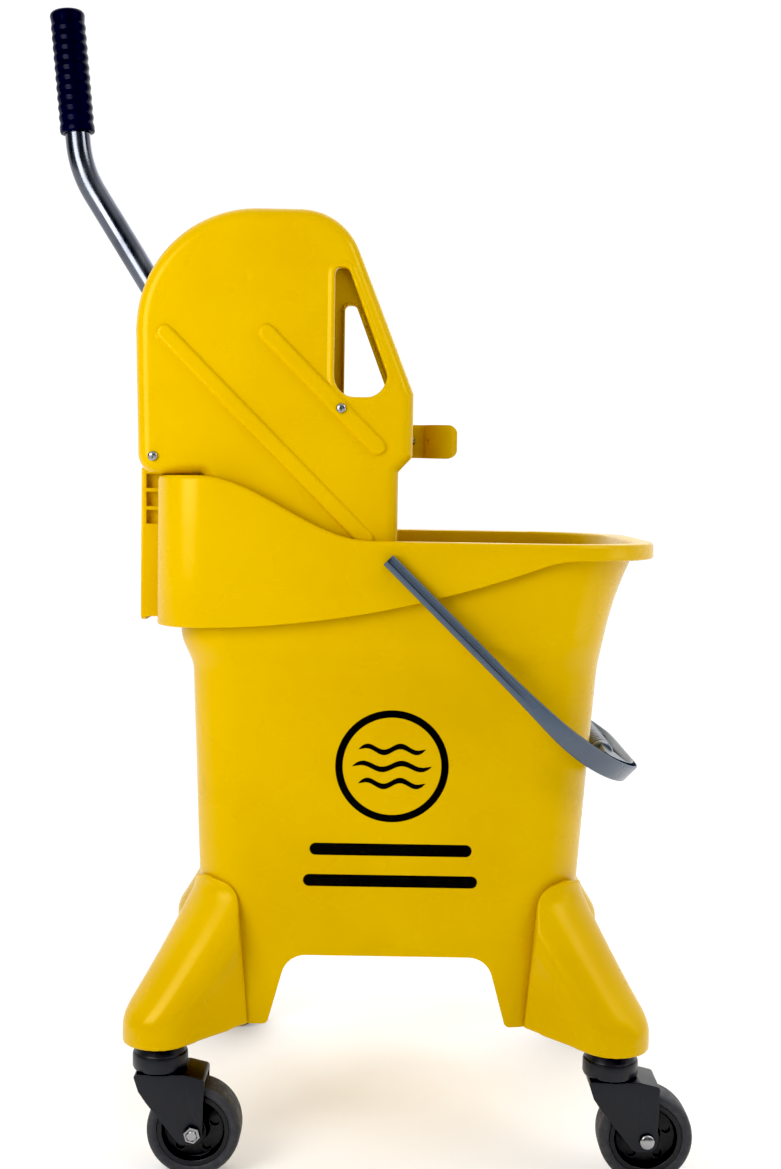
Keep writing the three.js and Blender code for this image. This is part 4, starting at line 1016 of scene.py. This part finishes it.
def pan_screw(name, base, tip, side, spot, head=4.0):
    """A pan-head screw with a cross recess, its axis across the wringer."""
    s = SIDES[side]
    dome = [(head * math.cos(a), base + 1.0 + 2.0 * math.sin(a)) for a in np.linspace(0, math.pi / 2, 7)]
    screw = turned(name, [(0, tip), (2, tip), (2, base), (head, base)] + dome[:-1] + [(0, base + 3)],
                   AY * s, Vector((spot.x, 0, spot.y)), 32)
    reach = head * 0.55
    deep, shallow = sorted((s * (base + 1.9), s * (base + 4)))
    slots = [block("slot", spot.x - a, spot.x + a, deep, shallow, spot.y - b, spot.y + b)
             for a, b in ((reach, 0.45), (0.45, reach))]
    combine(screw, slots, "DIFFERENCE")
    return screw


for side in SIDES:
    upper = pan_screw(f"screw_upper_{side}", CHEEK_OUT + RIB_RISE + 0.3, 116.5, side, SCREW_A)
    finish_piece(upper, "wringer", ZINC, [f"cheek_screw_upper_{side}"])
    lower = pan_screw(f"screw_lower_{side}", CHEEK_OUT + 0.3, CHEEK_IN - 3, side, SCREW_B)
    finish_piece(lower, "wringer", ZINC, [f"cheek_screw_lower_{side}"])
    drum = eased([(2.4, 116.5), (7.6, 116.5), (7.6, 133.2), (2.4, 133.2)], 0.6) + [(2.4, 116.5)]
    roller = turned(f"roller_{side}", drum, AY * SIDES[side], Vector((SCREW_A.x, 0, SCREW_A.y)), 40)
    finish_piece(roller, "wringer", GRIPGREY, [f"rack_roller_{side}"])


# ---- rear cover and apron ----
def build_cover():
    outer = [(-203, 574), (-205.4, 600)] + dome_points(4, 86, 1.2)[::-1] + [(DOME_X, 778.6), (-66, 778.6)]
    inner = [(-66, 775.6), (DOME_X, 775.6)] + dome_points(4, 86, 4.4) + [(-202, 600), (-199.8, 574)]
    cover = prism("rear_cover_sheet", outer + inner, -128.6, 128.6)
    slot = rounded([(-18, 670, 14), (18, 670, 14), (18, 800), (-18, 800)], 8)
    combine(cover, [prism("slot", slot, -230, -50, lambda p, h: (h, p[0], p[1]))], "DIFFERENCE")
    soften(cover, 0.9, 2, 50)
    finish_piece(cover, "wringer", YELLOW, ["rear_cover"])


def build_apron():
    plate = rounded([(-APRON_Y, 447, 6), (APRON_Y, 447, 6), (APRON_Y, 573.4, 3), (-APRON_Y, 573.4, 3)])
    apron = prism("rear_apron_panel", plate, -209.5, -205.5, lambda p, h: (h, p[0], p[1]))
    parts = [block("hook", -207, -170, -APRON_Y, APRON_Y, 568.4, 573.4),
             block("lip", -173, -170, -APRON_Y, APRON_Y, 549, 573.4),
             block("shelf", -207, -192.6, -APRON_Y, APRON_Y, 522, 527),
             block("shelf", -207, -194, -APRON_Y, APRON_Y, 538.5, 541.5),
             block("shelf", -207, -194, -APRON_Y, APRON_Y, 553.5, 556.5)]
    for k in range(-2, 3):
        y = k * APRON_Y / 2
        parts.append(block("rib", -207, -192.6, max(-APRON_Y, y - 2), min(APRON_Y, y + 2), 450, 524))
    for y in (-82, 82):
        parts.append(block("end", -207, -192.6, y - 2, y + 2, 523, 569))
    combine(apron, parts, "UNION")
    soften(apron, 0.8, 2, 50)
    finish_piece(apron, "wringer", YELLOW, ["rear_apron"])


build_cover()
build_apron()


# ---- basket ----
def sheet_outline(line, thick):
    """A sheet of even thickness on the left of a line."""
    off = []
    for i, p in enumerate(line):
        before = (p - line[i - 1]).normalized() if i else None
        after = (line[i + 1] - p).normalized() if i + 1 < len(line) else None
        d1, d2 = before or after, after or before
        normal = Vector((-d1.y - d2.y, d1.x + d2.x)).normalized()
        reach = thick / max(0.4, normal.dot(Vector((-d1.y, d1.x))))
        off.append(p + normal * reach)
    return list(line) + off[::-1]


def build_basket():
    corners = [nt(BASKET_N, -500), nt(BASKET_N, BASKET_T), nt(1 - BASKET_T, BASKET_T), Vector((0.8, 574)),
               Vector((11.5, 588)), Vector((11.5, 634))]
    basket = prism("basket_pan", sheet_outline(corners, BASKET_WALL), -128.6, 128.6)
    holes = []
    for j in range(-3, 4):
        for i in range(3):
            holes.append(rod("drain", 5.5, -9, 9, Vector((1, 0, 1)),
                             slope_point(BASKET_N, -470 + 36 * i, j * 34), 24))
        for i in range(2):
            holes.append(rod("drain", 5.5, -9, 9, Vector((1, 0, -1)),
                             slope_point(BASKET_N + 24 + 28 * i, BASKET_T, j * 34), 24))
    for s in (-1, 1):
        holes.append(rod("hole", 1.9, -2, 20, AX, Vector((0, s * CLIP_SCREW_Y, CLIP_Z)), 16))
    combine(basket, holes, "DIFFERENCE")
    soften(basket, 0.6, 2, 50)
    finish_piece(basket, "wringer", YELLOW, ["basket"])


build_basket()


# ---- mop handle clip ----
def build_clip():
    def arc(radius, angles):
        turns = [math.radians(a) for a in angles]
        return [(CLIP_X + radius * math.cos(a), radius * math.sin(a)) for a in turns]

    sweep = np.linspace(CLIP_OPEN, 360 - CLIP_OPEN, 44)
    ring = arc(CLIP_OUT, sweep) + arc(CLIP_IN, sweep[::-1])
    low, high = CLIP_Z - CLIP_HALF, CLIP_Z + CLIP_HALF
    clip = prism("mop_clip_arms", ring, low, high, lambda p, h: (p[0], p[1], h))
    tip = rounded([(0, low), (CLIP_TIP, low, 8), (CLIP_TIP, high, 8), (0, high)])
    combine(clip, [prism("tip", tip, -30, 30)], "INTERSECT")
    combine(clip, [block("neck", 14, 27, -5, 5, low, high),
                   block("flange", 11.8, 15, -16, 16, low, high)], "UNION")
    combine(clip, [rod("hole", 1.9, -2, 30, AX, Vector((0, s * CLIP_SCREW_Y, CLIP_Z)), 16) for s in (-1, 1)],
            "DIFFERENCE")
    soften(clip, 1.2, 3, 50)
    finish_piece(clip, "wringer", YELLOW, ["mop_clip"])
    for side, s in SIDES.items():
        head = [(3.2, 15.3), (3.2, 16.4), (2.6, 17.2), (1.4, 17.6), (0, 17.6)]
        place = Vector((0, s * CLIP_SCREW_Y, CLIP_Z))
        screw = turned(f"clip_screw_{side}_head", [(0, 4), (1.6, 4), (1.6, 15.3)] + head, AX, place, 24)
        finish_piece(screw, "wringer", ZINC, [f"clip_screw_{side}"])


build_clip()


# ---- press plate, racks and sectors ----
CONTACT_T, PIVOT_N = SLOPE * (PIVOT.x - PIVOT.z), SLOPE * (PIVOT.x + PIVOT.z)
RACK_N = PIVOT_N + PITCH_R
PITCH = 2 * math.pi * PITCH_R / GEAR_TEETH


def build_press():
    panel = [nt(PLATE_N0, PLATE_T - 4), nt(PLATE_N1, PLATE_T - 4), nt(PLATE_N1, PLATE_T + 4),
             nt(PLATE_N0, PLATE_T + 4)]
    plate = prism("press_plate_panel", panel, -129, 129)
    parts = []
    for s in (-1, 1):
        parts.append(rod("pin", 3.6, 127, CHEEK_OUT - 1, AY * s, slope_point(350.5, PLATE_T), 24))
        bracket = [nt(PLATE_N1 - 1, PLATE_T - 4), nt(RACK_N + 2, PLATE_T - 4),
                   nt(RACK_N + 2, PLATE_T + 0.3), nt(RACK_N + 8.2, PLATE_T + 0.3),
                   nt(RACK_N + 8.2, PLATE_T + 8), nt(PLATE_N1 - 1, PLATE_T + 4)]
        parts.append(prism("bracket", bracket, *sorted((s * 112, s * 129))))
    for i in range(-3, 4):
        rib = [nt(PLATE_N0 + 6, PLATE_T - 12), nt(PLATE_N1 - 10, PLATE_T - 12),
               nt(PLATE_N1 - 4, PLATE_T - 3.5), nt(PLATE_N0 + 1, PLATE_T - 3.5)]
        parts.append(prism("rib", rib, i * 30 - 1.5, i * 30 + 1.5))
    combine(plate, parts, "UNION")
    soften(plate, 0.9, 2, 50)
    finish_piece(plate, "press", YELLOW, ["press_plate"])


def rack_outline():
    start, stop, back = -641, PLATE_T, RACK_N + 8.2
    points = [nt(back, start), nt(RACK_N + 3.4, start)]
    k = math.ceil((start + 5 - CONTACT_T) / PITCH - 0.5)
    while CONTACT_T + (k + 0.5) * PITCH < PLATE_T - 12:
        c = CONTACT_T + (k + 0.5) * PITCH
        points += [nt(RACK_N + 3.4, c - 3.3), nt(RACK_N - 2.6, c - 1.15),
                   nt(RACK_N - 2.6, c + 1.15), nt(RACK_N + 3.4, c + 3.3)]
        k += 1
    return points + [nt(RACK_N + 3.4, stop), nt(back, stop)]


def sector_outline():
    points = []
    for j in range(-1, 10):
        for w, r in ((3.1, -3.4), (1.15, 2.6), (-1.15, 2.6), (-3.1, -3.4)):
            a = 2 * math.pi * j / GEAR_TEETH - w / PITCH_R
            points.append(nt(PIVOT_N + (PITCH_R + r) * math.cos(a), CONTACT_T - (PITCH_R + r) * math.sin(a)))
    for i in range(17):
        a = math.radians(125 + 13 * i)
        points.append(nt(PIVOT_N + 15 * math.cos(a), CONTACT_T - 15 * math.sin(a)))
    return points


build_press()
for side, s in SIDES.items():
    rack = soften(prism(f"rack_{side}_bar", rack_outline(), *sorted((s * 116, s * 126))), 0.4, 2, 50)
    finish_piece(rack, "press", GEAR, [f"rack_{side}"])
    sector = prism(f"sector_{side}", sector_outline(), *sorted((s * 117, s * 125)))
    combine(sector, [rod("bore", 8.3, 100, 140, AY * s, PIVOT)], "DIFFERENCE")
    finish_piece(soften(sector, 0.4, 2, 50), "lever", GEAR, [f"sector_gear_{side}"])


# ---- lever ----
def heading(angle):
    return Vector((math.cos(math.radians(angle)), 0, math.sin(math.radians(angle))))


LEVER_DIR, TOP_DIR = heading(LEVER_ANGLE), heading(LEVER_TOP_ANGLE)
CORNER = PIVOT + LEVER_DIR * LEVER_RUN
TOP_REACH = (LEVER_TOP_Z - CORNER.z) / TOP_DIR.z
LEVER_BOLTS = (30, 52)


def lever_line(steps=16):
    """(point, direction) along the tube's middle."""
    reach = BEND_R * math.tan(math.radians((LEVER_ANGLE - LEVER_TOP_ANGLE) / 2))
    bend = CORNER - LEVER_DIR * reach
    centre = bend + Vector((LEVER_DIR.z, 0, -LEVER_DIR.x)) * BEND_R
    line = [(PIVOT + LEVER_DIR * 17, LEVER_DIR), (PIVOT + LEVER_DIR * 120, LEVER_DIR)]
    for i in range(steps + 1):
        angle = LEVER_ANGLE + (LEVER_TOP_ANGLE - LEVER_ANGLE) * i / steps
        way = heading(angle)
        line.append((centre + Vector((-way.z, 0, way.x)) * BEND_R, way))
    return line + [(CORNER + TOP_DIR * (TOP_REACH - 6), TOP_DIR)]


def tube_rings(line, radius, sides=40):
    rings = []
    for p, way in line:
        side = Vector((-way.z, 0, way.x))
        turns = [2 * math.pi * i / sides for i in range(sides)]
        rings.append([p + AY * (radius * math.cos(a)) + side * (radius * math.sin(a)) for a in turns])
    return rings


def bolt_holes():
    return [rod("hole", 3.3, -30, 30, AY, PIVOT + LEVER_DIR * s, 24) for s in LEVER_BOLTS]


def build_lever():
    line = lever_line()
    tube = skin("lever_pipe", tube_rings(line, TUBE_R) + tube_rings(line, TUBE_R - 1.8)[::-1], closed=True)
    combine(tube, bolt_holes(), "DIFFERENCE")
    finish_piece(tube, "lever", CHROME, ["lever_tube"], 50)
    socket = turned("lever_socket_hub", eased([(0, -24), (16, -24), (16, 24), (0, 24)], 1.5), AY, PIVOT, 56)
    neck = turned("neck", eased([(0, 4), (15, 4), (15, 64), (0, 64)], 1.5), LEVER_DIR, PIVOT, 48)
    combine(socket, [neck], "UNION")
    bores = [rod("bore", 8.3, -40, 40, AY, PIVOT), rod("bore", TUBE_R + 0.3, 16.7, 80, LEVER_DIR, PIVOT, 48)]
    combine(socket, bores + bolt_holes(), "DIFFERENCE")
    finish_piece(soften(socket, 0.7, 2, 50), "lever", GEAR, ["lever_socket"])
    shank = [(0, -16.8), (4.4, -16.8), (5, -16.4), (5, -15.3), (3, -15.3), (3, 16.4), (2.4, 17), (0, 17)]
    for k, s in enumerate(LEVER_BOLTS, 1):
        bolt = turned(f"lever_bolt_{k}_shank", shank, AY, PIVOT + LEVER_DIR * s, 24)
        finish_piece(bolt, "lever", ZINC, [f"lever_bolt_{k}"])
    axle_line = eased([(0, -135.8), (8, -135.8), (8, 135.8), (0, 135.8)], 0.8)
    axle = turned("lever_axle_rod", axle_line, AY, PIVOT, 40)
    finish_piece(axle, "lever", ZINC, ["lever_axle"])
    build_grip()


def build_grip():
    """A sleeve with finger scallops down it, closed and rounded at the top."""
    foot = CORNER + TOP_DIR * (TOP_REACH - GRIP_L)
    first, pitch, count, end_r = 5, 8.5, 10.5, 4.5
    profile = [(TUBE_R + 0.3, 0), (GRIP_R - 1.2, 0), (GRIP_R - 0.4, 0.5), (GRIP_R, 1.8)]
    for h in np.linspace(first, first + pitch * count, 148):
        scallop = 0.5 - 0.5 * math.cos(2 * math.pi * (h - first) / pitch)
        profile.append((GRIP_R - 0.8 * scallop, h))
    for a in np.linspace(0, math.pi / 2, 9):
        profile.append((GRIP_R - end_r + end_r * math.cos(a), GRIP_L - end_r + end_r * math.sin(a)))
    profile += [(0, GRIP_L), (0, GRIP_L - end_r), (TUBE_R + 0.3, GRIP_L - end_r), (TUBE_R + 0.3, 0)]
    grip = turned("lever_grip_sleeve", profile, TOP_DIR, foot, 56)
    finish_piece(grip, "lever", NAVY, ["lever_grip"], 55)


build_lever()


def build_spring():
    turns, steps, wire, radius = 4.25, 180, 1.5, 12.0
    rings = []
    for i in range(steps + 1):
        a = i / steps * turns * 2 * math.pi + math.radians(40)
        middle = PIVOT + Vector((radius * math.cos(a), 30 + 18 * i / steps, radius * math.sin(a)))
        out = Vector((math.cos(a), 0, math.sin(a)))
        rings.append([middle + out * (wire * math.cos(t)) + AY * (wire * math.sin(t))
                      for t in np.linspace(0, 2 * math.pi, 12, endpoint=False)])
    finish_piece(skin("return_spring_coil", rings), "wringer", ZINC, ["return_spring"])


build_spring()


# ---- floor, light and camera ----
def stage_material():
    """A plain white paper floor, lit a little from behind so that its shadows stay pale."""
    p = Paint("pale_floor")
    paper = p.mix(p.ramp(p.noise(2.2, 4), 0.3, 0.7), (0.84, 0.84, 0.84), (0.82, 0.82, 0.822))
    p.use("Base Color", paper)
    p.use("Emission Color", paper)
    p.use("Roughness", p.ramp(p.noise(12, 3), 0.3, 0.7, 0.55, 0.7))
    p.set(Emission_Strength=0.24)
    return p.mat


def lay_floor():
    mesh = bpy.data.meshes.new("floor")
    mesh.from_pydata([(-14, -10, 0), (14, -10, 0), (14, 18, 0), (-14, 18, 0)], [], [(0, 1, 2, 3)])
    floor = bpy.data.objects.new("floor", mesh)
    floor.data.materials.append(stage_material())
    bpy.context.scene.collection.objects.link(floor)


def light_world():
    """A studio that is white behind the object and overhead, and dim in front of it."""
    world = bpy.data.worlds.new("studio")
    world.use_nodes = True
    tree = world.node_tree
    sky = tree.nodes["Background"]
    split = tree.nodes.new("ShaderNodeSeparateXYZ")
    tree.links.new(tree.nodes.new("ShaderNodeTexCoord").outputs["Generated"], split.inputs["Vector"])
    both = tree.nodes.new("ShaderNodeMath")
    both.operation = "ADD"
    for slot, (way, low, high, top) in enumerate((("Y", -0.05, 0.45, 1.0), ("Z", 0.4, 0.8, 0.8))):
        fade = tree.nodes.new("ShaderNodeMapRange")
        fade.interpolation_type = "SMOOTHSTEP"
        for key, number in (("From Min", low), ("From Max", high), ("To Min", 0.06), ("To Max", top)):
            fade.inputs[key].default_value = number
        tree.links.new(split.outputs[way], fade.inputs["Value"])
        tree.links.new(fade.outputs["Result"], both.inputs[slot])
    tree.links.new(both.outputs["Value"], sky.inputs["Color"])
    bpy.context.scene.world = world


def set_view():
    """A print-like contrast: the deepest shades fall to black."""
    view = bpy.context.scene.view_settings
    view.view_transform = "Standard"
    view.use_curve_mapping = True
    view.curve_mapping.black_level = (0.018, 0.018, 0.018)
    view.curve_mapping.update()


def soft_light(name, place, aim, size, power):
    data = bpy.data.lights.new(name, "AREA")
    data.shape = "RECTANGLE"
    data.size, data.size_y = size
    data.energy = power
    lamp = bpy.data.objects.new(name, data)
    lamp.location = place
    lamp.rotation_mode = "QUATERNION"
    lamp.rotation_quaternion = (Vector(aim) - Vector(place)).to_track_quat("-Z", "Y")
    bpy.context.scene.collection.objects.link(lamp)


def place_camera():
    """The camera stands in front of the near side, tipped a little down and rolled a little."""
    place = Vector((0.0265, -1.35, 0.5577))
    tip, roll = math.radians(4.02), math.radians(0.95)
    forward = Vector((0, math.cos(tip), -math.sin(tip)))
    level_up = AX.cross(forward)
    right = AX * math.cos(roll) + level_up * math.sin(roll)
    up = level_up * math.cos(roll) - AX * math.sin(roll)
    data = bpy.data.cameras.new("camera")
    data.sensor_width, data.lens, data.shift_x = 36, 46.717, 0.00197
    data.clip_start, data.clip_end = 0.05, 60
    camera = bpy.data.objects.new("camera", data)
    camera.matrix_world = Matrix((
        (right.x, up.x, -forward.x, place.x),
        (right.y, up.y, -forward.y, place.y),
        (right.z, up.z, -forward.z, place.z),
        (0, 0, 0, 1),
    ))
    bpy.context.scene.collection.objects.link(camera)
    bpy.context.scene.camera = camera


lay_floor()
light_world()
set_view()
soft_light("key", (-0.6, -0.78, 0.76), (-0.14, -0.1, 0.55), (0.5, 0.6), 6.1)
soft_light("fill", (0.95, -0.62, 1.25), (0, 0, 0.6), (0.5, 0.5), 3.3)
soft_light("side", (1.15, -0.35, 0.6), (0.15, 0, 0.4), (0.5, 0.8), 2.2)
soft_light("back", (0.6, 1.9, 1.6), (0, 0, 0.5), (1.6, 1.2), 8)

place_camera()
